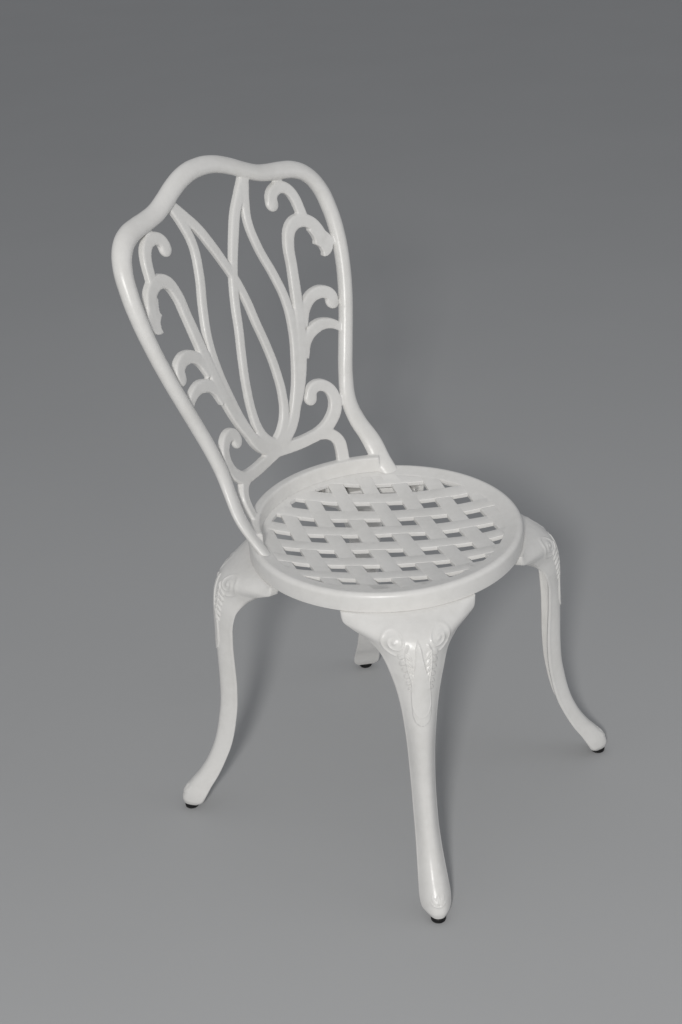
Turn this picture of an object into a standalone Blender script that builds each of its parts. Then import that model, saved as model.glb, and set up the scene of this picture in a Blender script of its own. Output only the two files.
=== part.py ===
"""A bistro chair of cast aluminium: a dished lattice seat, a scrolled back and four bolted-on cabriole legs.

Metres, +Z up. The chair faces -Y. Pieces are first placed round the middle of the seat, and the empty that
carries them then sets the origin on the floor, under the middle of the whole chair.
"""

import math

import bmesh
import bpy
from mathutils import Matrix, Vector

# Clearance between two pieces that touch on the real chair
GAP = 0.0003

# Seat: a round dished plate with a turned-down rim and a lattice of diamond strips
SEAT_HEIGHT = 0.437
SEAT_RADIUS = 0.190
RIM_DEPTH = 0.028
RIM_WALL = 0.0045
RIM_ROUND = 0.003
SEAT_THICKNESS = 0.006
DISH_DEPTH = 0.023
DISH_POWER = 3.0
SEAT_STEPS = 60

# Lattice: diamond holes in rows, half a step apart from row to row, inside a plain ring along the rim
LATTICE_HALF_STEP_X = 0.0273
LATTICE_HALF_STEP_Y = 0.0384
LATTICE_HOLE_SIDE = 0.0237
LATTICE_MARGIN = 0.026
LATTICE_RADIUS = SEAT_RADIUS - LATTICE_MARGIN
LATTICE_LAST_HOLE = LATTICE_RADIUS + 0.004

# Back: the surface that the rail and the scrolls lie on, by the height above the seat. It is drawn for a
# seat of this radius, and widens with a wider seat, so that the ends of the rail stay on the rim.
BACK_DRAWN_FOR = 0.190
BACK_SET_BACK = 0.177
BACK_LEAN = 0.108
BACK_CURL = 0.258
BACK_BOW = 1.00
BACK_BOW_EASING = 1.40
BACK_BOW_AT_SEAT = 2.50
BACK_BOW_FADE = 0.060

# Foot band of the back, which stands on the seat's rim between the two ends of the rail
BAND_INSET = 0.003
BAND_WIDTH = 0.015
BAND_OUTER_RADIUS = SEAT_RADIUS - BAND_INSET
BAND_INNER_RADIUS = BAND_OUTER_RADIUS - BAND_WIDTH
BAND_HEIGHT = 0.018
BAND_EDGE = 0.0025
BAND_HALF_ANGLE = math.radians(54)

STRIP_THICKNESS = 0.0092

# Rail, right half, from its foot up to the middle of the crest: across, above the seat, radius
RAIL_HALF = (
    (0.1480, -0.012, 0.0102),
    (0.1490, 0.010, 0.0102),
    (0.1470, 0.038, 0.0104),
    (0.1425, 0.067, 0.0104),
    (0.1420, 0.096, 0.0103),
    (0.1510, 0.134, 0.0102),
    (0.1640, 0.171, 0.0102),
    (0.1785, 0.210, 0.0102),
    (0.1915, 0.248, 0.0103),
    (0.2020, 0.288, 0.0105),
    (0.2080, 0.328, 0.0112),
    (0.2085, 0.362, 0.0122),
    (0.2025, 0.392, 0.0131),
    (0.1890, 0.4120, 0.0134),
    (0.1700, 0.4225, 0.0128),
    (0.1480, 0.4270, 0.0118),
    (0.1260, 0.4290, 0.0114),
    (0.1040, 0.4330, 0.0114),
    (0.0810, 0.4420, 0.0115),
    (0.0570, 0.4530, 0.0116),
    (0.0290, 0.4625, 0.0117),
    (0.0000, 0.4655, 0.0117),
)

# Scrollwork, right half: across, above the seat, half width
SCROLLS = {
    "tulip_outer": (
        (0.0735, 0.4340, 0.0085),
        (0.0640, 0.4080, 0.0070),
        (0.0575, 0.3800, 0.0065),
        (0.0620, 0.3440, 0.0065),
        (0.0770, 0.2960, 0.0065),
        (0.0845, 0.2600, 0.0065),
        (0.0835, 0.2200, 0.0066),
        (0.0740, 0.1750, 0.0070),
        (0.0580, 0.1270, 0.0082),
        (0.0360, 0.0900, 0.0095),
        (0.0080, 0.0710, 0.0095),
    ),
    "tulip_inner": (
        (0.0735, 0.4340, 0.0075),
        (0.0570, 0.4120, 0.0070),
        (0.0400, 0.3910, 0.0072),
        (0.0270, 0.3680, 0.0072),
        (0.0140, 0.3440, 0.0068),
        (0.0000, 0.3160, 0.0064),
        (-0.0130, 0.2800, 0.0060),
        (-0.0190, 0.2500, 0.0056),
        (-0.0275, 0.2150, 0.0054),
        (-0.0340, 0.1750, 0.0054),
        (-0.0350, 0.1350, 0.0056),
        (-0.0300, 0.1080, 0.0062),
        (-0.0180, 0.0880, 0.0074),
        (0.0020, 0.0740, 0.0085),
    ),
    "hook": (
        (0.0480, 0.1060, 0.0080),
        (0.0700, 0.1400, 0.0080),
        (0.0860, 0.1800, 0.0086),
        (0.0970, 0.2200, 0.0088),
        (0.1050, 0.2600, 0.0088),
        (0.1130, 0.3000, 0.0080),
        (0.1200, 0.3330, 0.0080),
        (0.1310, 0.3500, 0.0084),
        (0.1480, 0.3550, 0.0088),
        (0.1640, 0.3490, 0.0088),
        (0.1775, 0.3360, 0.0094),
        (0.1850, 0.3190, 0.0100),
        (0.1895, 0.3020, 0.0062),
    ),
    "upper_leaf": (
        (0.1020, 0.2180, 0.0060),
        (0.1120, 0.2420, 0.0062),
        (0.1240, 0.2530, 0.0066),
        (0.1390, 0.2580, 0.0070),
        (0.1550, 0.2560, 0.0070),
        (0.1670, 0.2480, 0.0064),
    ),
    "lower_leaf": (
        (0.0900, 0.1750, 0.0060),
        (0.1020, 0.1980, 0.0064),
        (0.1210, 0.2085, 0.0070),
        (0.1430, 0.2090, 0.0068),
        (0.1620, 0.2000, 0.0058),
        (0.1710, 0.1900, 0.0045),
    ),
    "upper_scroll": (
        (0.1580, 0.3500, 0.0070),
        (0.1580, 0.3730, 0.0080),
        (0.1550, 0.3890, 0.0078),
        (0.1480, 0.4020, 0.0072),
        (0.1360, 0.4085, 0.0072),
        (0.1220, 0.4070, 0.0070),
        (0.1120, 0.3990, 0.0064),
    ),
    "lower_scroll": (
        (0.0000, 0.0660, 0.0085),
        (0.0340, 0.0610, 0.0088),
        (0.0640, 0.0600, 0.0082),
        (0.0880, 0.0640, 0.0080),
        (0.1070, 0.0740, 0.0080),
        (0.1210, 0.0910, 0.0082),
        (0.1235, 0.1120, 0.0080),
        (0.1150, 0.1260, 0.0074),
        (0.1000, 0.1320, 0.0070),
        (0.0860, 0.1280, 0.0064),
    ),
    "foot_strip": (
        (0.0800, 0.0620, 0.0060),
        (0.0980, 0.0590, 0.0078),
        (0.1085, 0.0470, 0.0084),
        (0.1080, 0.0320, 0.0072),
        (0.1040, 0.0190, 0.0062),
        (0.1015, 0.0060, 0.0060),
    ),
}

# Round ends of the scrolls, right half: across, above the seat, radius
SCROLL_BALLS = {
    "hook_lobe_upper": (0.1755, 0.3240, 0.0095),
    "hook_lobe_lower": (0.1835, 0.3065, 0.0085),
    "upper_leaf_ball": (0.1650, 0.2375, 0.0105),
    "upper_scroll_ball": (0.1105, 0.3890, 0.0095),
    "lower_scroll_ball": (0.0825, 0.1165, 0.0098),
}

# Glide: a plug of black plastic pressed into the foot
GLIDE_REACH = SEAT_RADIUS + 0.122
GLIDE_RADIUS = 0.0102
GLIDE_HEIGHT = 0.0092
GLIDE_STEM_RADIUS = 0.0040
GLIDE_STEM_LENGTH = 0.012

# Leg, from its collar under the rim down to its foot. Each row has its share of the leg's height, how far
# beyond the seat's radius the outer face, the side edge and the inner face lie, its half width and how far
# the inner face follows the outer one: share, outer, edge, half width, inner, follow.
LEG_TOP = SEAT_HEIGHT - RIM_DEPTH - GAP
LEG_BOTTOM = GLIDE_HEIGHT + GAP
LEG_ROWS = (
    (1.0000, 0.0045, -0.0190, 0.0895, -0.0060, 1.0),
    (0.9832, 0.0230, -0.0185, 0.0890, 0.0115, 1.0),
    (0.9657, 0.0350, -0.0160, 0.0860, 0.0230, 1.0),
    (0.9481, 0.0430, -0.0080, 0.0740, 0.0300, 1.0),
    (0.9206, 0.0500, 0.0040, 0.0570, 0.0330, 0.9),
    (0.8780, 0.0555, 0.0180, 0.0425, 0.0315, 0.5),
    (0.8204, 0.0590, 0.0310, 0.0335, 0.0320, 0.1),
    (0.7427, 0.0610, 0.0400, 0.0268, 0.0330, 0.0),
    (0.6526, 0.0625, 0.0440, 0.0215, 0.0350, 0.0),
    (0.5398, 0.0625, 0.0460, 0.0182, 0.0360, 0.0),
    (0.4396, 0.0635, 0.0470, 0.0170, 0.0385, 0.0),
    (0.3520, 0.0680, 0.0515, 0.0165, 0.0440, 0.0),
    (0.2643, 0.0770, 0.0600, 0.0165, 0.0530, 0.0),
    (0.1891, 0.0900, 0.0730, 0.0170, 0.0660, 0.0),
    (0.1265, 0.1060, 0.0890, 0.0182, 0.0795, 0.0),
    (0.0814, 0.1220, 0.1040, 0.0200, 0.0910, 0.0),
    (0.0463, 0.1325, 0.1160, 0.0212, 0.0990, 0.0),
    (0.0188, 0.1355, 0.1210, 0.0200, 0.1050, 0.0),
    (0.0000, 0.1340, 0.1220, 0.0140, 0.1100, 0.0),
)
LEG_ANGLES = {
    "front_right": math.radians(-135),
    "front_left": math.radians(-45),
    "rear_left": math.radians(45),
    "rear_right": math.radians(135),
}
LEG_OUTER_POINTS = 11
LEG_INNER_POINTS = 7
CHANNEL_WALL = 0.0052
CHANNEL_FACE = 0.0075
CHANNEL_TOP = 0.86
CHANNEL_BOTTOM = 0.23

# Pad inside the leg's collar, which the two bolts clamp to the seat
PAD_INNER_RADIUS = SEAT_RADIUS - 0.028
PAD_OUTER_RADIUS = SEAT_RADIUS - 0.004
PAD_THICKNESS = 0.008
PAD_HALF_ANGLE = math.radians(25)

# Fasteners: M6 hexagon bolts, each with a flat washer and a spring washer
BOLT_RADIUS = 0.0030
BOLT_HOLE_RADIUS = BOLT_RADIUS + GAP
BOLT_HEAD_RADIUS = 0.0057
BOLT_HEAD_HEIGHT = 0.0040
WASHER_RADIUS = 0.0060
WASHER_THICKNESS = 0.0016
WASHER_SIDES = 12
SPRING_WASHER_RADIUS = 0.0053
SPRING_WASHER_THICKNESS = 0.0016
SPRING_WASHER_SLIT = 0.0010
LEG_BOLT_CIRCLE = SEAT_RADIUS - 0.0175
LEG_BOLT_ANGLE = math.radians(19)
LEG_BOLT_GRIP = 0.0125
LEG_BOLT_REACH = PAD_THICKNESS + GAP + LEG_BOLT_GRIP
LEG_BOSS_RADIUS = 0.0085
BACK_BOLT_CIRCLE = SEAT_RADIUS - 0.012
BACK_BOLT_ANGLES = (math.radians(32.5), math.radians(76), math.radians(104), math.radians(147.5))
BACK_BOLT_GRIP = 0.0070
BACK_BOSS_RADIUS = 0.0075
BACK_BOSS_DROP = 0.0125
BACK_BOLT_REACH = BACK_BOSS_DROP + BACK_BOLT_GRIP
THREAD_END_GAP = 0.0006

FINISHES = {
    "white_powder_coat": ((0.80, 0.79, 0.77, 1.0), 0.32, 0.0),
    "black_plastic": ((0.02, 0.02, 0.02, 1.0), 0.55, 0.0),
    "zinc_steel": ((0.62, 0.62, 0.60, 1.0), 0.35, 1.0),
}


def clear_scene():
    for obj in list(bpy.data.objects):
        bpy.data.objects.remove(obj, do_unlink=True)


def new_collection(name):
    collection = bpy.data.collections.new(name)
    bpy.context.scene.collection.children.link(collection)
    return collection


def finish(name):
    """The material with this name, made the first time that it is asked for."""
    if name in bpy.data.materials:
        return bpy.data.materials[name]
    colour, roughness, metallic = FINISHES[name]
    material = bpy.data.materials.new(name)
    material.use_nodes = True
    shader = material.node_tree.nodes["Principled BSDF"]
    shader.inputs["Base Color"].default_value = colour
    shader.inputs["Roughness"].default_value = roughness
    shader.inputs["Metallic"].default_value = metallic
    return material


def add_mesh(name, bm, collection):
    bmesh.ops.recalc_face_normals(bm, faces=bm.faces)
    mesh = bpy.data.meshes.new(name)
    bm.to_mesh(mesh)
    bm.free()
    obj = bpy.data.objects.new(name, mesh)
    collection.objects.link(obj)
    return obj


def evaluated_mesh(obj):
    """The object's mesh as its modifiers or its curve make it, in place and with its caps welded."""
    graph = bpy.context.evaluated_depsgraph_get()
    mesh = bpy.data.meshes.new_from_object(obj.evaluated_get(graph))
    mesh.transform(obj.matrix_world)
    bm = bmesh.new()
    bm.from_mesh(mesh)
    bmesh.ops.remove_doubles(bm, verts=bm.verts, dist=1e-6)
    bmesh.ops.recalc_face_normals(bm, faces=bm.faces)
    bm.to_mesh(mesh)
    bm.free()
    return mesh


def made_real(obj, name=None):
    """Replaces an object by one that holds its evaluated mesh and no modifiers."""
    bpy.context.view_layer.update()
    mesh = evaluated_mesh(obj)
    collection = obj.users_collection[0]
    name = name or obj.name
    bpy.data.objects.remove(obj, do_unlink=True)
    real = bpy.data.objects.new(name, mesh)
    collection.objects.link(real)
    return real


def combine(target, others, operation):
    """One Boolean of the target with all the others, which are used up."""
    group = bpy.data.collections.new("group")
    for other in others:
        group.objects.link(other)
    modifier = target.modifiers.new(operation.lower(), "BOOLEAN")
    modifier.operation = operation
    modifier.solver = "EXACT"
    modifier.use_self = True
    modifier.operand_type = "COLLECTION"
    modifier.collection = group
    real = made_real(target)
    for other in list(group.objects):
        bpy.data.objects.remove(other, do_unlink=True)
    bpy.data.collections.remove(group)
    return real


def turned(name, profile, steps, collection):
    """A solid of revolution about Z. The profile is (radius, height) points, down its outer side."""
    mesh = bpy.data.meshes.new(name)
    points = [(radius, 0.0, height) for radius, height in profile]
    mesh.from_pydata(points, [(i, i + 1) for i in range(len(points) - 1)], [])
    obj = bpy.data.objects.new(name, mesh)
    collection.objects.link(obj)
    screw = obj.modifiers.new("turn", "SCREW")
    screw.steps = steps
    screw.render_steps = steps
    screw.use_merge_vertices = True
    screw.merge_threshold = 1e-6
    return made_real(obj)


def ring_sector(name, profile, middle, half_angle, steps, collection):
    """A closed profile of (radius, height) points swept about Z through twice half_angle."""
    bm = bmesh.new()
    start = Matrix.Rotation(middle - half_angle, 4, "Z")
    corners = [bm.verts.new(start @ Vector((radius, 0.0, height))) for radius, height in profile]
    face = bm.faces.new(corners)
    bmesh.ops.spin(
        bm,
        geom=[face, *face.edges, *face.verts],
        cent=(0, 0, 0),
        axis=(0, 0, 1),
        angle=2 * half_angle,
        steps=steps,
        use_duplicate=False,
    )
    bmesh.ops.remove_doubles(bm, verts=bm.verts, dist=1e-7)
    return add_mesh(name, bm, collection)


def pillar(name, x, y, bottom, top, radius, sides, collection):
    """An upright cylinder, or with six sides a hexagon."""
    bm = bmesh.new()
    middle = Matrix.Translation((x, y, (bottom + top) / 2))
    bmesh.ops.create_cone(
        bm, cap_ends=True, segments=sides, radius1=radius, radius2=radius, depth=top - bottom, matrix=middle
    )
    return add_mesh(name, bm, collection)


def loft(name, rings, collection):
    """A solid through closed rings of as many points each."""
    bm = bmesh.new()
    rows = [[bm.verts.new(point) for point in ring] for ring in rings]
    for low, high in zip(rows, rows[1:]):
        for i, corner in enumerate(low):
            after = (i + 1) % len(low)
            bm.faces.new((corner, low[after], high[after], high[i]))
    bm.faces.new(rows[0])
    bm.faces.new(rows[-1])
    bmesh.ops.triangulate(bm, faces=[face for face in bm.faces if len(face.verts) > 4])
    return add_mesh(name, bm, collection)


def polar(radius, angle):
    return radius * math.cos(angle), radius * math.sin(angle)


def dish(radius):
    """Height of the seat's top face at a distance from its middle."""
    outward = min(radius / BAND_OUTER_RADIUS, 1.0)
    return SEAT_HEIGHT - DISH_DEPTH * (1 - outward**DISH_POWER)


def dish_profile(lift):
    """Top face of the seat as (radius, height), from the middle outwards, raised by lift."""
    shares = (0.0, 0.375, 0.615, 0.775, 0.900, 1.0)
    return [(BAND_OUTER_RADIUS * share, dish(BAND_OUTER_RADIUS * share) + lift) for share in shares]


def lattice_holes(cutters):
    """The diamond holes as upright prisms, cut off where the plain ring of the seat begins."""
    bm = bmesh.new()
    slope = Vector((LATTICE_HALF_STEP_X, LATTICE_HALF_STEP_Y)).normalized() * LATTICE_HOLE_SIDE
    rows = math.ceil(LATTICE_RADIUS / LATTICE_HALF_STEP_Y)
    columns = math.ceil(LATTICE_RADIUS / LATTICE_HALF_STEP_X)
    for row in range(-rows, rows + 1):
        for column in range(-columns, columns + 1):
            x = column * LATTICE_HALF_STEP_X
            y = row * LATTICE_HALF_STEP_Y
            if (row + column) % 2 or math.hypot(x, y) > LATTICE_LAST_HOLE:
                continue
            outline = ((x, y - slope.y), (x + slope.x, y), (x, y + slope.y), (x - slope.x, y))
            low = [bm.verts.new((*corner, SEAT_HEIGHT - RIM_DEPTH - 0.02)) for corner in outline]
            high = [bm.verts.new((*corner, SEAT_HEIGHT + 0.02)) for corner in outline]
            bm.faces.new(low)
            bm.faces.new(high)
            for i in range(4):
                bm.faces.new((low[i], low[(i + 1) % 4], high[(i + 1) % 4], high[i]))
    holes = add_mesh("lattice_holes", bm, cutters)
    field = pillar(
        "lattice_field",
        0,
        0,
        SEAT_HEIGHT - RIM_DEPTH - 0.01,
        SEAT_HEIGHT + 0.01,
        LATTICE_RADIUS,
        SEAT_STEPS,
        cutters,
    )
    return combine(holes, [field], "INTERSECT")


def leg_bolt_places():
    """(leg name, end, x, y) of every leg bolt."""
    for leg, middle in LEG_ANGLES.items():
        for end, side in (("a", -1), ("b", 1)):
            yield leg, end, *polar(LEG_BOLT_CIRCLE, middle + side * LEG_BOLT_ANGLE)


def back_bolt_places():
    for number, angle in enumerate(BACK_BOLT_ANGLES, 1):
        yield number, *polar(BACK_BOLT_CIRCLE, angle)


def make_seat(parts, cutters):
    rim_bottom = SEAT_HEIGHT - RIM_DEPTH
    top = dish_profile(0.0)
    inside = SEAT_RADIUS - RIM_WALL
    fillet = inside - RIM_ROUND
    under = [*dish_profile(-SEAT_THICKNESS)[:-1], (fillet, dish(fillet) - SEAT_THICKNESS)]
    profile = [
        *top,
        (SEAT_RADIUS - RIM_ROUND * 0.3, SEAT_HEIGHT - RIM_ROUND * 0.3),
        (SEAT_RADIUS, SEAT_HEIGHT - RIM_ROUND),
        (SEAT_RADIUS, rim_bottom + 0.001),
        (SEAT_RADIUS - 0.001, rim_bottom),
        (inside, rim_bottom),
        (inside, under[-1][1] - RIM_ROUND),
        *reversed(under),
    ]
    seat = turned("seat", profile, SEAT_STEPS, parts)
    leg_boss_top = dish(LEG_BOLT_CIRCLE) - SEAT_THICKNESS / 2
    bosses = [
        pillar("boss", x, y, rim_bottom, leg_boss_top, LEG_BOSS_RADIUS, 16, cutters)
        for _, _, x, y in leg_bolt_places()
    ]
    bosses += [
        pillar(
            "boss",
            x,
            y,
            SEAT_HEIGHT - BACK_BOSS_DROP,
            dish(BACK_BOLT_CIRCLE) - SEAT_THICKNESS / 2,
            BACK_BOSS_RADIUS,
            16,
            cutters,
        )
        for _, x, y in back_bolt_places()
    ]
    seat = combine(seat, bosses, "UNION")
    thread_end = LEG_TOP - PAD_THICKNESS + LEG_BOLT_REACH + THREAD_END_GAP
    holes = [
        pillar("hole", x, y, rim_bottom - 0.01, thread_end, BOLT_HOLE_RADIUS, 12, cutters)
        for _, _, x, y in leg_bolt_places()
    ]
    holes += [
        pillar("hole", x, y, rim_bottom, SEAT_HEIGHT + 0.01, BOLT_HOLE_RADIUS, 12, cutters)
        for _, x, y in back_bolt_places()
    ]
    holes.append(lattice_holes(cutters))
    return combine(seat, holes, "DIFFERENCE")


def back_depth(across, height):
    """How far behind the seat's middle the back's surface lies, on the seat that it is drawn for."""
    middle = BACK_SET_BACK + BACK_LEAN * height + BACK_CURL * height**2
    bow = BACK_BOW - BACK_BOW_EASING * height + BACK_BOW_AT_SEAT * math.exp(-height / BACK_BOW_FADE)
    return middle - bow * across**2


def on_back(across, height, proud=0.0):
    """The point of the back at this place, standing proud of its surface, towards the rear."""
    nudge = 0.001
    slope = (back_depth(across + nudge, height) - back_depth(across - nudge, height)) / (2 * nudge)
    rearward = Vector((-slope, 1.0, 0.0)).normalized()
    widening = SEAT_RADIUS / BACK_DRAWN_FOR
    place = Vector((across * widening, back_depth(across, height) * widening, SEAT_HEIGHT + height))
    return place + proud * rearward


def smooth_curve(name, points, collection, dimensions):
    """A Bezier curve through (point, radius) pairs, with its handles set automatically."""
    curve = bpy.data.curves.new(name, "CURVE")
    curve.dimensions = dimensions
    spline = curve.splines.new("BEZIER")
    spline.bezier_points.add(len(points) - 1)
    for bezier, (point, radius) in zip(spline.bezier_points, points):
        bezier.co = point
        bezier.radius = radius
        bezier.handle_left_type = "AUTO"
        bezier.handle_right_type = "AUTO"
    curve.use_fill_caps = True
    obj = bpy.data.objects.new(name, curve)
    collection.objects.link(obj)
    return obj


def make_rail(cutters):
    """The round outer rail, in one run over the crest from foot to foot."""
    mirrored = [(-across, height, radius) for across, height, radius in RAIL_HALF[:-1]]
    run = [*mirrored, *reversed(RAIL_HALF)]
    points = [(on_back(across, height), radius) for across, height, radius in run]
    rail = smooth_curve("rail", points, cutters, "3D")
    rail.data.twist_mode = "MINIMUM"
    rail.data.bevel_depth = 1.0
    rail.data.bevel_resolution = 3
    rail.data.resolution_u = 2
    return made_real(rail)


def strip_section(cutters):
    """The section of a scroll strip at half width 1: a rounded oblong."""
    flatness = STRIP_THICKNESS / 2 / SCROLLS["tulip_outer"][3][2]
    section = bpy.data.curves.new("strip_section", "CURVE")
    section.dimensions = "2D"
    spline = section.splines.new("POLY")
    corners = [(1.0, 0.45), (0.60, 0.98), (-0.60, 0.98), (-1.0, 0.45)]
    corners += [(-1.0, -0.45), (-0.60, -0.98), (0.60, -0.98), (1.0, -0.45)]
    spline.points.add(len(corners) - 1)
    for point, (wide, deep) in zip(spline.points, corners):
        point.co = (wide, deep * flatness, 0.0, 1.0)
    spline.use_cyclic_u = True
    obj = bpy.data.objects.new("strip_section", section)
    cutters.objects.link(obj)
    return obj


def make_scroll(name, points, side, section, cutters):
    """One strip of the scrollwork, drawn flat with its height along Y, on the given side of the middle."""
    flat = [(Vector((side * across, height, 0.0)), half_width) for across, height, half_width in points]
    strip = smooth_curve(name, flat, cutters, "2D")
    strip.data.fill_mode = "NONE"
    strip.data.bevel_mode = "OBJECT"
    strip.data.bevel_object = section
    strip.data.resolution_u = 2
    return made_real(strip)


def make_ball(name, across, height, radius, cutters):
    bm = bmesh.new()
    place = Matrix.Translation((across, height, 0.0)) @ Matrix.Diagonal((radius, radius, radius * 0.68, 1.0))
    bmesh.ops.create_uvsphere(bm, u_segments=12, v_segments=6, radius=1.0, matrix=place)
    return add_mesh(name, bm, cutters)


def bend_onto_back(obj):
    """Lays a flat drawing (across, height, thickness) on the back's surface."""
    for vertex in obj.data.vertices:
        across, height, proud = vertex.co
        vertex.co = on_back(across, height, proud)
    bm = bmesh.new()
    bm.from_mesh(obj.data)
    bmesh.ops.triangulate(bm, faces=[face for face in bm.faces if len(face.verts) > 3])
    bmesh.ops.recalc_face_normals(bm, faces=bm.faces)
    bm.to_mesh(obj.data)
    bm.free()
    return obj


def make_band(cutters):
    """The plain band at the foot of the back. Its underside is trimmed later to the seat."""
    low = SEAT_HEIGHT - DISH_DEPTH / 2
    high = SEAT_HEIGHT + BAND_HEIGHT
    profile = [
        (BAND_INNER_RADIUS, low),
        (BAND_OUTER_RADIUS - GAP, low),
        (BAND_OUTER_RADIUS - GAP, high - BAND_EDGE),
        (BAND_OUTER_RADIUS - GAP - BAND_EDGE, high),
        (BAND_INNER_RADIUS + BAND_EDGE, high),
        (BAND_INNER_RADIUS, high - BAND_EDGE),
    ]
    return ring_sector("band", profile, math.pi / 2, BAND_HALF_ANGLE, 24, cutters)


def make_back(parts, cutters):
    section = strip_section(cutters)
    pieces = []
    for side in (-1, 1):
        for name, points in SCROLLS.items():
            pieces.append(make_scroll(name, points, side, section, cutters))
        for name, (across, height, radius) in SCROLL_BALLS.items():
            pieces.append(make_ball(name, side * across, height, radius, cutters))
    bpy.data.objects.remove(section, do_unlink=True)
    scrollwork = bend_onto_back(combine(pieces[0], pieces[1:], "UNION"))
    rail = make_rail(cutters)
    back = combine(rail, [scrollwork, make_band(cutters)], "UNION")
    seat_top = dish_profile(GAP)
    below = SEAT_HEIGHT - 0.06
    past_rim = SEAT_RADIUS + 0.02
    outline = [*seat_top, (past_rim, SEAT_HEIGHT + GAP), (past_rim, below), (0.0, below)]
    envelope = turned("seat_envelope", outline, SEAT_STEPS, cutters)
    thread_end = SEAT_HEIGHT - BACK_BOSS_DROP + BACK_BOLT_REACH + THREAD_END_GAP
    holes = [
        pillar("hole", x, y, SEAT_HEIGHT - 0.03, thread_end, BOLT_HOLE_RADIUS, 12, cutters)
        for _, x, y in back_bolt_places()
    ]
    back = combine(back, holes, "DIFFERENCE")
    back = combine(back, [envelope], "DIFFERENCE")
    back.name = "backrest"
    parts.objects.link(back)
    cutters.objects.unlink(back)
    return back


def leg_section(share):
    """The leg's level, outer face, side edge, half width, inner face and follow, read between its rows."""
    for above, below in zip(LEG_ROWS, LEG_ROWS[1:]):
        if below[0] <= share <= above[0]:
            along = (share - below[0]) / (above[0] - below[0])
            row = [low + along * (high - low) for low, high in zip(below, above)]
            outer, edge, half_width, inner, follow = row[1:]
            level = LEG_BOTTOM + share * (LEG_TOP - LEG_BOTTOM)
            return level, SEAT_RADIUS + outer, SEAT_RADIUS + edge, half_width, SEAT_RADIUS + inner, follow
    raise ValueError(f"the leg has no section at {share}")


def leg_ring(share):
    """One level section of a leg that stands on +X, as points round it."""
    level, outer, edge, half_width, inner, follow = leg_section(share)
    ring = []
    for i in range(LEG_OUTER_POINTS):
        across = math.sin(math.pi / 2 * (2 * i / (LEG_OUTER_POINTS - 1) - 1))
        ring.append(Vector((edge + (outer - edge) * (1 - across**2), across * half_width, level)))
    for i in range(LEG_INNER_POINTS):
        across = 1 - 2 * i / (LEG_INNER_POINTS - 1)
        reach = inner - follow * (outer - edge) * across**2
        ring.append(Vector((reach, across * half_width * 0.94, level)))
    return ring


def channel_ring(share):
    """One level section of the cutter that hollows the leg's back. It keeps a wall to the outer face."""
    level, outer, edge, half_width, inner, _ = leg_section(share)
    runs_out = share in (CHANNEL_TOP, CHANNEL_BOTTOM)
    reach = half_width - CHANNEL_WALL
    ring = []
    for i in range(5):
        across = reach * (i - 2) / 2
        face = edge + (outer - edge) * (1 - (across / half_width) ** 2)
        ring.append(Vector((inner + 0.001 if runs_out else face - CHANNEL_FACE, across, level)))
    return [*ring, Vector((inner - 0.02, reach, level)), Vector((inner - 0.02, -reach, level))]


def make_leg(cutters):
    """A leg that stands on +X, with the channel in its back, the pad on top and the glide's socket."""
    leg = loft("leg", [leg_ring(row[0]) for row in LEG_ROWS], cutters)
    pad_profile = [
        (PAD_INNER_RADIUS, LEG_TOP - PAD_THICKNESS),
        (PAD_OUTER_RADIUS, LEG_TOP - PAD_THICKNESS),
        (PAD_OUTER_RADIUS, LEG_TOP),
        (PAD_INNER_RADIUS, LEG_TOP),
    ]
    pad = ring_sector("pad", pad_profile, 0.0, PAD_HALF_ANGLE, 10, cutters)
    leg = combine(leg, [pad], "UNION")
    between = [row[0] for row in LEG_ROWS if CHANNEL_BOTTOM < row[0] < CHANNEL_TOP]
    shares = (CHANNEL_TOP, *between, CHANNEL_BOTTOM)
    channel = loft("channel", [channel_ring(share) for share in shares], cutters)
    socket_top = LEG_BOTTOM + GLIDE_STEM_LENGTH
    socket = pillar(
        "socket", GLIDE_REACH, 0.0, LEG_BOTTOM - 0.01, socket_top, GLIDE_STEM_RADIUS + GAP, 16, cutters
    )
    holes = [
        pillar("hole", *bolt, LEG_TOP - 0.03, LEG_TOP + 0.01, BOLT_HOLE_RADIUS, 12, cutters)
        for bolt in (polar(LEG_BOLT_CIRCLE, LEG_BOLT_ANGLE), polar(LEG_BOLT_CIRCLE, -LEG_BOLT_ANGLE))
    ]
    return combine(leg, [channel, socket, *holes], "DIFFERENCE")


def make_legs(parts, cutters):
    pattern = make_leg(cutters)
    legs = []
    for name, angle in LEG_ANGLES.items():
        leg = bpy.data.objects.new(f"leg_{name}", pattern.data)
        leg.rotation_euler.z = angle
        parts.objects.link(leg)
        legs.append(leg)
    bpy.data.objects.remove(pattern, do_unlink=True)
    return legs


def make_glides(parts):
    profile = [
        (0.0, GLIDE_HEIGHT + GLIDE_STEM_LENGTH),
        (GLIDE_STEM_RADIUS, GLIDE_HEIGHT + GLIDE_STEM_LENGTH),
        (GLIDE_STEM_RADIUS, GLIDE_HEIGHT),
        (GLIDE_RADIUS, GLIDE_HEIGHT),
        (GLIDE_RADIUS, 0.0015),
        (GLIDE_RADIUS - 0.0015, 0.0),
        (0.0, 0.0),
    ]
    pattern = turned("glide", profile, 16, parts)
    glides = []
    for name, angle in LEG_ANGLES.items():
        glide = bpy.data.objects.new(f"glide_{name}", pattern.data)
        glide.location = (*polar(GLIDE_REACH, angle), 0.0)
        parts.objects.link(glide)
        glides.append(glide)
    bpy.data.objects.remove(pattern, do_unlink=True)
    return glides


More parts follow.
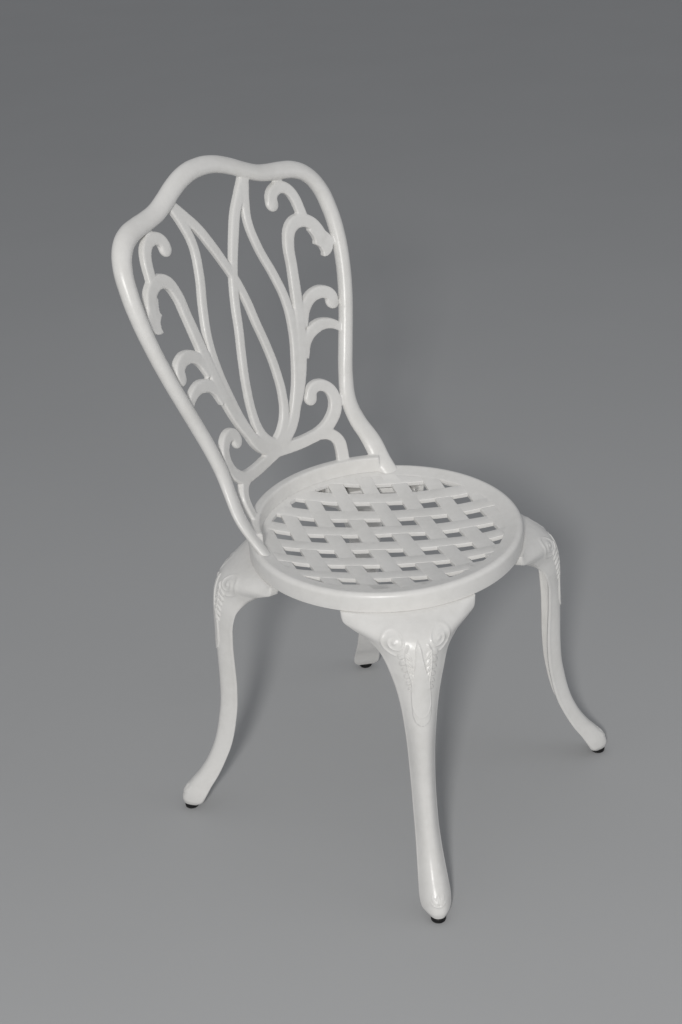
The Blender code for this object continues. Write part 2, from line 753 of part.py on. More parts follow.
def washer_mesh(name, radius, thickness, slit, parts):
    """A washer round the bolt. A spring washer is cut through by a slit."""
    hole = BOLT_HOLE_RADIUS
    profile = [(hole, 0.0), (radius, 0.0), (radius, thickness), (hole, thickness)]
    if slit:
        half_slit = slit / 2 / radius
        return ring_sector(name, profile, math.pi, math.pi - half_slit, WASHER_SIDES, parts)
    return turned(name, [*reversed(profile), profile[-1]], WASHER_SIDES, parts)


def bolt_mesh(name, reach, parts):
    """A hexagon bolt, its shaft upwards, with the underside of its head at 0."""
    shaft = pillar("shaft", 0, 0, -BOLT_HEAD_HEIGHT / 2, reach, BOLT_RADIUS, 12, parts)
    head = pillar(name, 0, 0, -BOLT_HEAD_HEIGHT, 0.0, BOLT_HEAD_RADIUS, 6, parts)
    return combine(head, [shaft], "UNION")


def make_fasteners(parts):
    """Each bolt with its flat washer against the casting and its spring washer under the head."""
    stack = WASHER_THICKNESS + SPRING_WASHER_THICKNESS + 3 * GAP
    leg_bolt = bolt_mesh("leg_bolt", LEG_BOLT_REACH + stack, parts)
    back_bolt = bolt_mesh("back_bolt", BACK_BOLT_REACH + stack, parts)
    washer = washer_mesh("washer", WASHER_RADIUS, WASHER_THICKNESS, 0.0, parts)
    spring = washer_mesh("spring", SPRING_WASHER_RADIUS, SPRING_WASHER_THICKNESS, SPRING_WASHER_SLIT, parts)
    leg_seat = LEG_TOP - PAD_THICKNESS
    back_seat = SEAT_HEIGHT - BACK_BOSS_DROP
    places = [(f"leg_{leg}_{end}", leg_bolt, x, y, leg_seat) for leg, end, x, y in leg_bolt_places()]
    places += [(f"back_{number}", back_bolt, x, y, back_seat) for number, x, y in back_bolt_places()]
    made = []
    for name, bolt, x, y, seat in places:
        washer_at = seat - GAP - WASHER_THICKNESS
        spring_at = washer_at - GAP - SPRING_WASHER_THICKNESS
        for kind, pattern, height in (
            ("washer", washer, washer_at),
            ("spring_washer", spring, spring_at),
            ("bolt", bolt, seat - stack),
        ):
            piece = bpy.data.objects.new(f"{kind}_{name}", pattern.data)
            piece.location = (x, y, height)
            parts.objects.link(piece)
            made.append(piece)
    for pattern in (leg_bolt, back_bolt, washer, spring):
        bpy.data.objects.remove(pattern, do_unlink=True)
    return made


def shade(objects, finish_name):
    for obj in objects:
        obj.data.materials.clear()
        obj.data.materials.append(finish(finish_name))
        obj.data.shade_smooth()
        obj.data.set_sharp_from_angle(angle=math.radians(40))


def centre_on_floor(objects, collection):
    """Hangs every piece from one empty, set so that the origin lies under the middle of the chair."""
    bpy.context.view_layer.update()
    corners = [obj.matrix_world @ vertex.co for obj in objects for vertex in obj.data.vertices]
    reach = [corner.y for corner in corners]
    chair = bpy.data.objects.new("chair", None)
    collection.objects.link(chair)
    chair.location = (0.0, -(min(reach) + max(reach)) / 2, 0.0)
    for obj in objects:
        obj.parent = chair


def main():
    clear_scene()
    parts = new_collection("bistro_chair")
    cutters = new_collection("cutters")
    castings = [make_seat(parts, cutters), make_back(parts, cutters), *make_legs(parts, cutters)]
    glides = make_glides(parts)
    fasteners = make_fasteners(parts)
    shade(castings, "white_powder_coat")
    shade(glides, "black_plastic")
    shade(fasteners, "zinc_steel")
    centre_on_floor([*castings, *glides, *fasteners], parts)


main()
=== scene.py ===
# %% [markdown]
# # A white cast bistro chair
#
# This lesson gives a garden chair its looks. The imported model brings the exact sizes, and each cell
# below replaces some of its plain solids by finely made pieces of the same size in the same place.
# First come the camera, the finishes, the helpers, and the floor and light, and then the pieces, from
# the largest to the smallest.

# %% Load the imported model
import math

import bmesh
import bpy
import numpy as np
from mathutils import Matrix, Vector


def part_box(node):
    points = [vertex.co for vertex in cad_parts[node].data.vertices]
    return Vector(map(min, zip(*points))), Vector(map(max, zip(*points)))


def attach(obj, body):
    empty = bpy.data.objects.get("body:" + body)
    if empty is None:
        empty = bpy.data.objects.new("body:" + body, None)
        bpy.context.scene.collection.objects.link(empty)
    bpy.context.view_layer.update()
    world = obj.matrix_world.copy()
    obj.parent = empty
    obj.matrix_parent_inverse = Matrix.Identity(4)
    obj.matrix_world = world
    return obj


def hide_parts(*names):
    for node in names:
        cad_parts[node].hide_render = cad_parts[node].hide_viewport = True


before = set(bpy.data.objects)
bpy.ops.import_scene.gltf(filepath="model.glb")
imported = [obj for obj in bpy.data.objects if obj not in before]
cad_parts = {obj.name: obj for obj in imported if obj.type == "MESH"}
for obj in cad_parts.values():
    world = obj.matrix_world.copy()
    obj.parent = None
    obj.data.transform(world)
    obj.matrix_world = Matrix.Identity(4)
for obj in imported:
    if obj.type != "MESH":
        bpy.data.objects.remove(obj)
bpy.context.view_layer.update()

seat_low, seat_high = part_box("seat")
SEAT_MIDDLE = Vector((0.0, (seat_low.y + seat_high.y) / 2, 0.0))
SEAT_TOP = seat_high.z
SEAT_RADIUS = (seat_high.x - seat_low.x) / 2
print(len(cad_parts), "nodes, seat middle", tuple(SEAT_MIDDLE), "top", SEAT_TOP, "radius", SEAT_RADIUS)

# %% [markdown]
# ## Camera
#
# A camera can be set by eye or worked out. Here its height, tilt and focal length were worked out
# from the seat's rim, which is a circle, and from the feet, which stand on one floor. A direction is
# the easiest way to write it down: a heading, a tilt down, and a small roll.

# %% Camera
CAMERA_PLACE = Vector((-1.4809, -1.1357, 1.4302))
CAMERA_HEADING = 0.8971
CAMERA_TILT = 0.4841
CAMERA_ROLL = 0.0654
CAMERA_LENS = 53.34
SENSOR_WIDTH = 36.0


def add_object(name, data):
    thing = bpy.data.objects.new(name, data)
    bpy.context.scene.collection.objects.link(thing)
    return thing


def camera_turn(heading, tilt, roll):
    """The camera's axes as a turn: right, up and backwards."""
    level = math.cos(tilt)
    forward = Vector((math.sin(heading) * level, math.cos(heading) * level, -math.sin(tilt)))
    level_right = Vector((math.cos(heading), -math.sin(heading), 0.0))
    level_down = forward.cross(level_right)
    right = math.cos(roll) * level_right + math.sin(roll) * level_down
    down = math.cos(roll) * level_down - math.sin(roll) * level_right
    return Matrix((right, -down, -forward)).transposed()


lens = bpy.data.cameras.new("camera")
lens.lens = CAMERA_LENS
lens.sensor_width = SENSOR_WIDTH
camera = add_object("camera", lens)
turn = camera_turn(CAMERA_HEADING, CAMERA_TILT, CAMERA_ROLL)
camera.matrix_world = Matrix.Translation(CAMERA_PLACE) @ turn.to_4x4()
bpy.context.scene.camera = camera
print("camera", [round(v, 3) for v in camera.matrix_world.translation], "lens", lens.lens)

# %% [markdown]
# ## Node trees as sentences
#
# A material or a Geometry Nodes tree can be clicked together, or written. Written trees stay short
# when an output socket behaves like a number, so that `1 - mask * 0.2` adds its own Math nodes. One
# more method adds any other node, with its settings first and its sockets after them.

# %% An output socket that behaves like a number
class Value:
    """Each operator adds a Math node to the tree and gives back its output."""

    def __init__(self, graph, socket):
        self.graph = graph
        self.socket = socket

    def math(self, operation, *others):
        return self.graph.add("ShaderNodeMath", {"operation": operation}, [self, *others])

    def after(self, operation, first):
        return self.graph.add("ShaderNodeMath", {"operation": operation}, [first, self])

    def __add__(self, other):
        return self.math("ADD", other)

    def __sub__(self, other):
        return self.math("SUBTRACT", other)

    def __mul__(self, other):
        return self.math("MULTIPLY", other)

    def __truediv__(self, other):
        return self.math("DIVIDE", other)

    def __pow__(self, other):
        return self.math("POWER", other)

    __radd__ = __add__
    __rmul__ = __mul__

    def __rsub__(self, other):
        return self.after("SUBTRACT", other)

    def __rtruediv__(self, other):
        return self.after("DIVIDE", other)


print("values add, subtract, multiply, divide and raise")

# %% A node tree with one method that adds a node
class Graph:
    def __init__(self, tree):
        self.tree = tree

    def add(self, kind, settings=None, inputs=(), output=0):
        node = self.tree.nodes.new(kind)
        for name, setting in (settings or {}).items():
            setattr(node, name, setting)
        pairs = inputs.items() if isinstance(inputs, dict) else enumerate(inputs)
        for key, value in pairs:
            socket = self.find(node.inputs, key)
            if isinstance(value, (list, tuple)) and value and isinstance(value[0], Value):
                for one in value:
                    self.tree.links.new(one.socket, socket)
            elif isinstance(value, Value):
                self.tree.links.new(value.socket, socket)
            else:
                socket.default_value = value
        return Value(self, self.find(node.outputs, output))

    @staticmethod
    def find(sockets, key):
        usable = [socket for socket in sockets if socket.enabled]
        if isinstance(key, int):
            return usable[key]
        return next(socket for socket in usable if socket.name == key)


print("graphs are ready")

# %% [markdown]
# ## Finishes
#
# The chair has three finishes: white powder coat, black plastic and zinc-plated steel. A finish could
# be a photograph wrapped round each piece, but then every piece needs unwrapping. Noise that reads
# Object coordinates needs none, and its pattern is as large on every piece as on the real one.

# %% A blank finish
def blank_finish(name, colour, roughness, metallic=0.0, specular=0.5):
    material = bpy.data.materials.new(name)
    material.use_nodes = True
    material.diffuse_color = (*colour, 1.0)
    shader = material.node_tree.nodes["Principled BSDF"]
    shader.inputs["Base Color"].default_value = (*colour, 1.0)
    shader.inputs["Roughness"].default_value = roughness
    shader.inputs["Metallic"].default_value = metallic
    shader.inputs["Specular IOR Level"].default_value = specular
    graph = Graph(material.node_tree)
    return material, graph, shader, graph.add("ShaderNodeTexCoord", output="Object")


def noise(graph, place, scale, detail):
    return graph.add("ShaderNodeTexNoise", None, {"Vector": place, "Scale": scale, "Detail": detail})


def between(graph, share, *colours):
    """A colour between two, each written down or made by nodes."""
    first, second = [colour if isinstance(colour, Value) else (*colour, 1.0) for colour in colours]
    return graph.add("ShaderNodeMix", {"data_type": "RGBA"}, {"Factor": share, "A": first, "B": second})


def ramp(graph, value, low, high):
    """0 below low, 1 above high, and smooth between them."""
    settings = {"interpolation_type": "SMOOTHSTEP"}
    return graph.add("ShaderNodeMapRange", settings, {"Value": value, "From Min": low, "From Max": high})


def feed(shader, name, value):
    shader.id_data.links.new(value.socket, shader.inputs[name])


def feed_bump(graph, shader, height, distance):
    inputs = {"Height": height, "Distance": distance}
    feed(shader, "Normal", graph.add("ShaderNodeBump", None, inputs, "Normal"))


print("finish helpers are ready")

# %% [markdown]
# Powder coat is a plastic skin baked onto the casting: glossy, with a fine orange peel that only
# shows in the highlights. One flat white would look like card, so a slow noise thins the powder to a
# slightly greyer white. A painted shade darkens the white, and makes it rougher, where Geometry's
# Pointiness says that the surface is hollow.

# %% White powder coat
WHITE = (0.80, 0.79, 0.77)
THIN_WHITE = (0.72, 0.71, 0.685)
HOLLOW_SHADE_WHITE = (0.60, 0.585, 0.555)


def make_powder_coat():
    material, graph, shader, place = blank_finish("white_powder_coat_finish", WHITE, 0.3)
    cloud = noise(graph, place, 14.0, 3.0)
    mottle = noise(graph, place, 95.0, 3.0)
    peel = noise(graph, place, 620.0, 1.0)
    ripple = noise(graph, place, 150.0, 1.0)
    thin = ramp(graph, cloud * 0.6 + mottle * 0.4, 0.40, 0.66)
    colour = between(graph, thin * 0.55, WHITE, THIN_WHITE)
    hollow = graph.add("ShaderNodeNewGeometry", output="Pointiness")
    # Painted shade: the white is darkened where the surface is hollow, and the same mask makes it rougher
    # there.
    hollow_shade = ramp(graph, hollow, 0.49, 0.40) * ramp(graph, mottle, 0.30, 0.65)
    feed(shader, "Base Color", between(graph, hollow_shade * 0.5, colour, HOLLOW_SHADE_WHITE))
    feed(shader, "Roughness", 0.24 + cloud * 0.10 + mottle * 0.08 + hollow_shade * 0.15)
    feed_bump(graph, shader, peel * 0.35 + ripple, 0.00016)
    return material


powder_coat = make_powder_coat()
print(powder_coat.name, len(powder_coat.node_tree.nodes), "nodes")

# %% [markdown]
# The glides are moulded in black plastic and left bare. Close up it has a fine grain, and it goes grey
# where it scrapes over paving. The scrape is a mask: a noise times a ramp on the height above the
# floor, so that only the lowest few millimetres wear.

# %% Black plastic
BLACK = (0.009, 0.009, 0.010)
SCUFFED_BLACK = (0.045, 0.044, 0.042)


def make_black_plastic():
    material, graph, shader, place = blank_finish("black_plastic_finish", BLACK, 0.5, specular=0.3)
    grain = noise(graph, place, 900.0, 2.0)
    scuff = noise(graph, place, 160.0, 4.0)
    height = graph.add("ShaderNodeSeparateXYZ", None, [place], "Z")
    worn = ramp(graph, height, 0.0042, 0.0) * ramp(graph, scuff, 0.45, 0.62)
    feed(shader, "Base Color", between(graph, worn, BLACK, SCUFFED_BLACK))
    feed(shader, "Roughness", 0.42 + grain * 0.15 + worn * 0.2)
    feed_bump(graph, shader, grain, 0.00008)
    return material


black_plastic = make_black_plastic()
print(black_plastic.name, len(black_plastic.node_tree.nodes), "nodes")

# %% [markdown]
# The bolts and washers are steel with a thin coat of zinc. A metal has no colour but that of its
# reflections, so two greys are mixed by a slow noise for the dull bloom that zinc gets out of doors,
# and the dull places are rougher as well.

# %% Zinc-plated steel
ZINC = (0.62, 0.62, 0.60)
DULL_ZINC = (0.42, 0.42, 0.40)


def make_zinc_steel():
    material, graph, shader, place = blank_finish("zinc_steel_finish", ZINC, 0.35, metallic=1.0)
    spangle = noise(graph, place, 420.0, 3.0)
    bloom = noise(graph, place, 70.0, 3.0)
    dull = ramp(graph, bloom, 0.42, 0.70)
    feed(shader, "Base Color", between(graph, dull * 0.8, ZINC, DULL_ZINC))
    feed(shader, "Roughness", 0.26 + spangle * 0.16 + dull * 0.2)
    feed_bump(graph, shader, spangle, 0.00004)
    return material


zinc_steel = make_zinc_steel()
print(zinc_steel.name, len(zinc_steel.node_tree.nodes), "nodes")

# %% [markdown]
# ## Turning geometry into pieces
#
# Modifiers and Geometry Nodes stay live in Blender until they are made real. These helpers make an
# object's evaluated mesh its own, so that every finished piece is one plain mesh at the origin, and
# they join and cut solids with the exact Boolean, which keeps edges crisp.

# %% Mesh helpers
def made_real(piece):
    """Gives the piece the mesh that its modifiers make, and removes them."""
    bpy.context.view_layer.update()
    graph = bpy.context.evaluated_depsgraph_get()
    mesh = bpy.data.meshes.new_from_object(piece.evaluated_get(graph))
    piece.modifiers.clear()
    piece.data = mesh
    return piece


def welded(piece, gap=2e-6):
    """Merges points that lie a hair apart, and turns the faces outwards."""
    bm = bmesh.new()
    bm.from_mesh(piece.data)
    bmesh.ops.remove_doubles(bm, verts=bm.verts, dist=gap)
    bmesh.ops.recalc_face_normals(bm, faces=bm.faces)
    bm.to_mesh(piece.data)
    bm.free()
    return piece


def mesh_piece(name, points, faces):
    mesh = bpy.data.meshes.new(name)
    mesh.from_pydata([tuple(point) for point in points], [], faces)
    return welded(add_object(name, mesh), 1e-7)


print("pieces can be made from points and faces")

# %% Joining, cutting and finishing
def triangles(piece):
    return sum(len(polygon.vertices) - 2 for polygon in piece.data.polygons)


def drop(*pieces):
    for piece in pieces:
        bpy.data.objects.remove(piece, do_unlink=True)


def joined(name, pieces):
    """One piece that holds the meshes of several, overlaps and all."""
    bm = bmesh.new()
    for piece in pieces:
        bm.from_mesh(piece.data)
    mesh = bpy.data.meshes.new(name)
    bm.to_mesh(mesh)
    bm.free()
    drop(*pieces)
    return add_object(name, mesh)


def boolean(piece, tools, operation):
    group = bpy.data.collections.new("tools")
    for tool in tools:
        group.objects.link(tool)
    modifier = piece.modifiers.new(operation.lower(), "BOOLEAN")
    modifier.operation = operation
    modifier.solver = "EXACT"
    modifier.use_self = True
    modifier.operand_type = "COLLECTION"
    modifier.collection = group
    made_real(piece)
    drop(*tools)
    bpy.data.collections.remove(group)
    return piece


def finished(piece, material, nodes, angle):
    """Gives a piece its finish and its place in the frame. Edges sharper than the angle stay crisp."""
    piece.data.materials.clear()
    piece.data.materials.append(material)
    for polygon in piece.data.polygons:
        polygon.material_index = 0
    piece.data.shade_smooth()
    piece.data.set_sharp_from_angle(angle=math.radians(angle))
    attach(piece, "root")
    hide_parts(*nodes)
    print(piece.name, triangles(piece), "triangles, stands for", len(nodes), "nodes")


print("pieces can be joined, cut and finished")

# %% [markdown]
# Blender's own cylinders and Screw modifiers could make the round pieces. A loft makes them all in one
# way: rings with as many points each, and faces between one ring and the next. A turned piece is a
# loft that comes round to its first ring, and a prism is a loft of two.

# %% Turned and swept solids
def lofted(name, rings, comes_round=False, closed=True):
    """A solid through rings of as many points each, with a cap at both ends unless it comes round."""
    count = len(rings[0])
    faces = []
    for i in range(len(rings) - 1 + comes_round):
        here, there = i * count, (i + 1) % len(rings) * count
        for j in range(count - 1 + closed):
            after = (j + 1) % count
            faces.append((here + j, here + after, there + after, there + j))
    if not comes_round:
        faces += [tuple(range(count)), tuple(range(there, there + count))]
    return mesh_piece(name, [point for ring in rings for point in ring], faces)


def prism(name, outline, low, high):
    return lofted(name, [[(x, y, z) for x, y in outline] for z in (low, high)])


def swung(profile, angle, middle):
    """The (radius, height) points of a profile, swung to an angle about an upright axis."""
    x, y = math.cos(angle), math.sin(angle)
    return [(middle[0] + radius * x, middle[1] + radius * y, height) for radius, height in profile]


def turned(name, profile, steps, middle=(0.0, 0.0)):
    """A solid turned about an upright axis. A profile that starts on the axis ends on it too."""
    rings = [swung(profile, 2 * math.pi * i / steps, middle) for i in range(steps)]
    return lofted(name, rings, comes_round=True, closed=profile[0][0] > 0.0)


def ring_sector(name, profile, heading, half_angle, steps, middle=(0.0, 0.0)):
    """A closed profile swept round a part of a circle."""
    angles = [heading - half_angle + 2 * half_angle * i / steps for i in range(steps + 1)]
    return lofted(name, [swung(profile, angle, middle) for angle in angles])


def plug(radius, low, high, middle, tip=0.0, steps=24):
    """A round solid for cutting a hole, with a tip as a drill leaves it."""
    return turned("plug", [(0.0, low), (radius, low), (radius, high), (0.0, high + tip)], steps, middle)


def rounded_oblong(inner, outer, low, high, radius, steps=4):
    """A closed (radius, height) profile whose corners are arc-like curves."""
    corners = [Vector(corner) for corner in ((inner, low), (outer, low), (outer, high), (inner, high))]
    outline = []
    for i, here in enumerate(corners):
        before = corners[i - 1] - here
        after = corners[(i + 1) % 4] - here
        reach = min(radius, before.length * 0.45, after.length * 0.45)
        start = here + before.normalized() * reach
        end = here + after.normalized() * reach
        for j in range(steps + 1):
            share = j / steps
            outline.append(tuple(start.lerp(here, share).lerp(here.lerp(end, share), share)))
    return outline


print("turning helpers are ready")

# %% [markdown]
# ## Geometry Nodes trees
#
# A tree is written like a material: named inputs first, then nodes, then one output. A bare carrier
# object holds it as a modifier, each input is set by its socket's identifier, and the result is made
# real, so that no instance is left.

# %% Trees with named inputs
KINDS = {
    "number": "NodeSocketFloat",
    "count": "NodeSocketInt",
    "object": "NodeSocketObject",
    "finish": "NodeSocketMaterial",
}


def new_tree(name, **labels):
    """A tree, and the values of its inputs. Their labels are given by kind."""
    tree = bpy.data.node_groups.new(name, "GeometryNodeTree")
    tree.is_modifier = True
    tree.interface.new_socket("Geometry", in_out="INPUT", socket_type="NodeSocketGeometry")
    for kind in labels:
        for label in labels[kind]:
            tree.interface.new_socket(label, in_out="INPUT", socket_type=KINDS[kind])
    tree.interface.new_socket("Geometry", in_out="OUTPUT", socket_type="NodeSocketGeometry")
    graph = Graph(tree)
    start = tree.nodes.new("NodeGroupInput")
    return graph, {socket.name: Value(graph, socket) for socket in start.outputs if socket.name}


def end_tree(graph, geometry, finish):
    whole = graph.add("GeometryNodeRealizeInstances", None, [geometry])
    shaded = graph.add("GeometryNodeSetMaterial", None, {"Geometry": whole, "Material": finish})
    end = graph.tree.nodes.new("NodeGroupOutput")
    graph.tree.links.new(shaded.socket, end.inputs["Geometry"])
    return graph.tree


def run_tree(name, tree, settings, carrier=None):
    """Runs a tree on a carrier object and returns the plain mesh that it makes."""
    carrier = carrier or add_object(name, bpy.data.meshes.new(name))
    modifier = carrier.modifiers.new(tree.name, "NODES")
    modifier.node_group = tree
    for item in tree.interface.items_tree:
        if item.in_out == "INPUT" and item.name in settings:
            modifier[item.identifier] = settings[item.name]
    return made_real(carrier)


def vector(graph, x=0.0, y=0.0, z=0.0):
    return graph.add("ShaderNodeCombineXYZ", None, [x, y, z])


def place_parts(graph):
    """The three numbers of each point's place."""
    place = graph.add("GeometryNodeInputPosition")
    return [graph.add("ShaderNodeSeparateXYZ", None, [place], axis) for axis in "XYZ"]


def moved_to(graph, geometry, place, key="Position"):
    return graph.add("GeometryNodeSetPosition", None, {"Geometry": geometry, key: place})


def resampled(graph, lines, length):
    return graph.add("GeometryNodeResampleCurve", {"mode": "LENGTH"}, {"Curve": lines, "Length": length})


print("tree helpers are ready")

# %% [markdown]
# ## Floor and light
#
# The chair stands as in a studio, on a plain pale floor that runs out of the picture. One big lamp
# all round would hide the carving, so the key lamp beside the camera is small enough to model it, a
# broad fill and a broad top lamp lift its shadows, and the sky is even. White paint clips to blank
# paper if the lamps are strong, so they stay below that.

# %% Floor
FLOOR_GREY = (0.46, 0.465, 0.47)
FLOOR_HALF = 80.0


def make_floor():
    half = FLOOR_HALF
    points = [(-half, -half, 0.0), (half, -half, 0.0), (half, half, 0.0), (-half, half, 0.0)]
    floor = mesh_piece("floor", points, [(0, 1, 2, 3)])
    material, graph, shader, place = blank_finish("floor_paper", FLOOR_GREY, 0.9, specular=0.2)
    tooth = noise(graph, place, 2.2, 3.0)
    darker = tuple(channel * 0.95 for channel in FLOOR_GREY)
    feed(shader, "Base Color", between(graph, tooth, FLOOR_GREY, darker))
    floor.data.materials.append(material)
    return floor


floor = make_floor()
print(floor.name, FLOOR_GREY)

# %% Lamps and sky
LAMPS = (
    ("key", (-2.80, -1.70, 2.15), 0.38, 70.0, (1.0, 0.985, 0.96)),
    ("fill", (1.3, -2.3, 1.7), 1.8, 5.0, (0.93, 0.96, 1.0)),
    ("top", (0.3, 0.6, 3.2), 2.4, 3.0, (1.0, 1.0, 1.0)),
)
LAMP_AIM = Vector((0.0, 0.0, 0.45))
SKY = (0.295, 0.30, 0.31)


def make_lamp(name, place, size, watts, colour):
    lamp = bpy.data.lights.new(name, "AREA")
    lamp.shape = "DISK"
    lamp.size = size
    lamp.energy = watts
    lamp.color = colour
    holder = add_object(name, lamp)
    aim = LAMP_AIM - Vector(place)
    holder.matrix_world = Matrix.Translation(place) @ aim.to_track_quat("-Z", "Y").to_matrix().to_4x4()


for lamp in LAMPS:
    make_lamp(*lamp)
sky = bpy.data.worlds.new("sky")
sky.use_nodes = True
sky.node_tree.nodes["Background"].inputs["Color"].default_value = (*SKY, 1.0)
bpy.context.scene.world = sky
bpy.context.scene.view_settings.view_transform = "Standard"
print(len(LAMPS), "lamps, sky", SKY)

# %% [markdown]
# ## Seat
#
# The seat is one casting: a plain ring with a turned-down rim, and a lattice of flat strips that
# pass over and under one another. Diamond holes could be cut from a disc, but then the strips would
# lie level. Woven strips are a rule, so Geometry Nodes make them: parallel bars a pitch apart, waving
# up at one crossing and down at the next, the same bars once more a quarter turn round, and then the
# whole square weave sheared to the slant of the strips and lowered onto the dish.

# %% Sizes of the seat
RIM_DEPTH = 0.028
RIM_WALL = 0.0045
RIM_ROUND = 0.0065
PLATE = 0.006
DISH_RADIUS = 0.187
DISH_DEPTH = 0.023
HALF_STEP = Vector((0.0273, 0.0384))
HOLE_SIDE = 0.0237
FIELD_RADIUS = 0.164
WEAVE_END = 0.1745
WEAVE_LIFT = 0.00026
WEAVE_STEP = 0.0035
WEAVE_FADE = 0.28
GAP = 0.0003


def dish(radius):
    """Height of the seat's top at a distance from its middle, for a number or an array."""
    return SEAT_TOP - DISH_DEPTH * (1 - np.minimum(np.abs(radius) / DISH_RADIUS, 1.0) ** 3)


def rim_arc():
    """Where the rounding of the rim leaves the dish, and the middle of its arc: radius, radius, height."""
    lean = math.radians(20)
    leaves = SEAT_RADIUS - RIM_ROUND * (1 + math.sin(lean))
    return leaves, SEAT_RADIUS - RIM_ROUND, float(dish(leaves)) - RIM_ROUND * math.cos(lean)


print("pitch", round(HALF_STEP.length, 5), "strip", round(HALF_STEP.length - HOLE_SIDE, 5))
print("rim rounds from", [round(value, 4) for value in rim_arc()])

# %% Tree of the woven strips
def section_curve(graph, width, thickness, corner, steps):
    """A rounded oblong as a curve, for sweeping along another."""
    sides = {"Width": width, "Height": thickness}
    oblong = graph.add("GeometryNodeCurvePrimitiveQuadrilateral", None, sides)
    inputs = {"Curve": oblong, "Count": steps, "Radius": corner}
    return graph.add("GeometryNodeFilletCurve", {"mode": "POLY"}, inputs)


def make_weave_tree():
    sizes = ["Pitch", "Strip Width", "Thickness", "Lift", "Edge", "Reach", "Fade From", "Fade To"]
    graph, given = new_tree("woven_strips", count=["Strips"], number=sizes, finish=["Finish"])
    pitch = given["Pitch"]
    reach = given["Reach"]
    ends = {"Start": vector(graph, reach * -1), "End": vector(graph, reach)}
    line = graph.add("GeometryNodeCurvePrimitiveLine", None, ends)
    first = (1 - given["Strips"]) * 0.5 * pitch
    steps = {"Start Location": vector(graph, y=first), "Offset": vector(graph, y=pitch)}
    rows = graph.add("GeometryNodeMeshLine", None, {"Count": given["Strips"], **steps})
    lines = graph.add("GeometryNodeInstanceOnPoints", None, {"Points": rows, "Instance": line})
    lines = graph.add("GeometryNodeRealizeInstances", None, [lines])
    lines = resampled(graph, lines, WEAVE_STEP)
    along, across, _ = place_parts(graph)
    strip = (across / pitch - 0.5).math("ROUND")
    wave = ((along / pitch - 0.5 + strip) * math.pi).math("COSINE") * given["Lift"]
    lines = moved_to(graph, lines, vector(graph, z=wave), "Offset")
    section = section_curve(graph, given["Strip Width"], given["Thickness"], given["Edge"], 3)
    inputs = {"Curve": lines, "Profile Curve": section, "Fill Caps": True}
    bars = graph.add("GeometryNodeCurveToMesh", None, inputs)
    inputs = {"Geometry": bars, "Rotation": (0.0, 0.0, math.pi / 2)}
    quarter = graph.add("GeometryNodeTransform", None, inputs)
    both = graph.add("GeometryNodeJoinGeometry", None, {"Geometry": [bars, quarter]})
    slant = HALF_STEP.normalized()
    right, left, height = place_parts(graph)
    x = (right - left) * slant.x
    y = (right + left) * slant.y
    radius = (x * x + y * y) ** 0.5
    fade = 1 - ramp(graph, radius, given["Fade From"], given["Fade To"]) * WEAVE_FADE
    outward = (radius / DISH_RADIUS).math("MINIMUM", 1.0)
    top = SEAT_TOP - DISH_DEPTH * (1 - outward ** 3)
    level = top - given["Thickness"] * 0.5 + height * fade
    moved = moved_to(graph, both, vector(graph, x, y + SEAT_MIDDLE.y, level))
    return end_tree(graph, moved, given["Finish"])


weave_tree = make_weave_tree()
print(weave_tree.name, len(weave_tree.nodes), "nodes")

# %% Weave the strips and trim them to a round field
def make_weave():
    settings = {
        "Strips": 8,
        "Pitch": HALF_STEP.length,
        "Strip Width": HALF_STEP.length - HOLE_SIDE,
        "Thickness": PLATE,
        "Lift": WEAVE_LIFT,
        "Edge": 0.0006,
        "Reach": 0.205,
        "Fade From": 0.159,
        "Fade To": 0.172,
        "Finish": powder_coat,
    }
    weave = run_tree("weave", weave_tree, settings)
    field = plug(WEAVE_END, SEAT_TOP - 0.08, SEAT_TOP + 0.05, SEAT_MIDDLE, steps=120)
    return boolean(weave, [field], "INTERSECT")


weave = make_weave()
print("weave", triangles(weave), "triangles")

# %% [markdown]
# The ring round the weave is a turned solid. Its profile runs from the inner edge up over the dish,
# round the rim, down the apron and back underneath, with every edge rounded as a casting's is.

# %% Profile of the ring
def about(middle, radius, angle):
    return middle[0] + radius * math.cos(angle), middle[1] + radius * math.sin(angle)


def arc(middle, radius, start, end, steps):
    """Points of an arc in the (radius, height) plane, with angles in degrees."""
    return [about(middle, radius, turn) for turn in np.radians(np.linspace(start, end, steps + 1))]


def dish_points(start, end, steps, lower=0.0):
    """Points of the dish from one radius to another, or of a surface that much lower."""
    return [(float(radius), float(dish(radius)) - lower) for radius in np.linspace(start, end, steps)]


def ring_profile():
    bottom = SEAT_TOP - RIM_DEPTH
    inside = SEAT_RADIUS - RIM_WALL
    edge = 0.0006
    foot = 0.0008
    fillet = 0.004
    inner_top = float(dish(FIELD_RADIUS))
    leaves, middle, level = rim_arc()
    under = float(dish(inside - fillet)) - PLATE
    return [
        *arc((FIELD_RADIUS + edge, inner_top - edge), edge, 180, 90, 3),
        *dish_points(FIELD_RADIUS + 2 * edge, leaves, 12)[:-1],
        *arc((middle, level), RIM_ROUND, 110, 0, 10),
        *arc((SEAT_RADIUS - foot, bottom + foot), foot, 0, -90, 4),
        *arc((inside + foot, bottom + foot), foot, -90, -180, 4),
        *arc((inside - fillet, under - fillet), fillet, 0, 70, 5),
        *dish_points(inside - fillet - 0.001, FIELD_RADIUS + 2 * edge, 8, PLATE),
        *arc((FIELD_RADIUS + edge, inner_top - PLATE + edge), edge, 270, 180, 3),
    ]


print(len(ring_profile()), "points in the ring's profile")

# %% [markdown]
# Under the plate, round bosses take the bolts: two for each leg, and four for the back. A boss could be
# one more step in the profile, but it isn't round the seat's axis, so each is turned by itself,
# joined to the ring and the weave, and drilled.

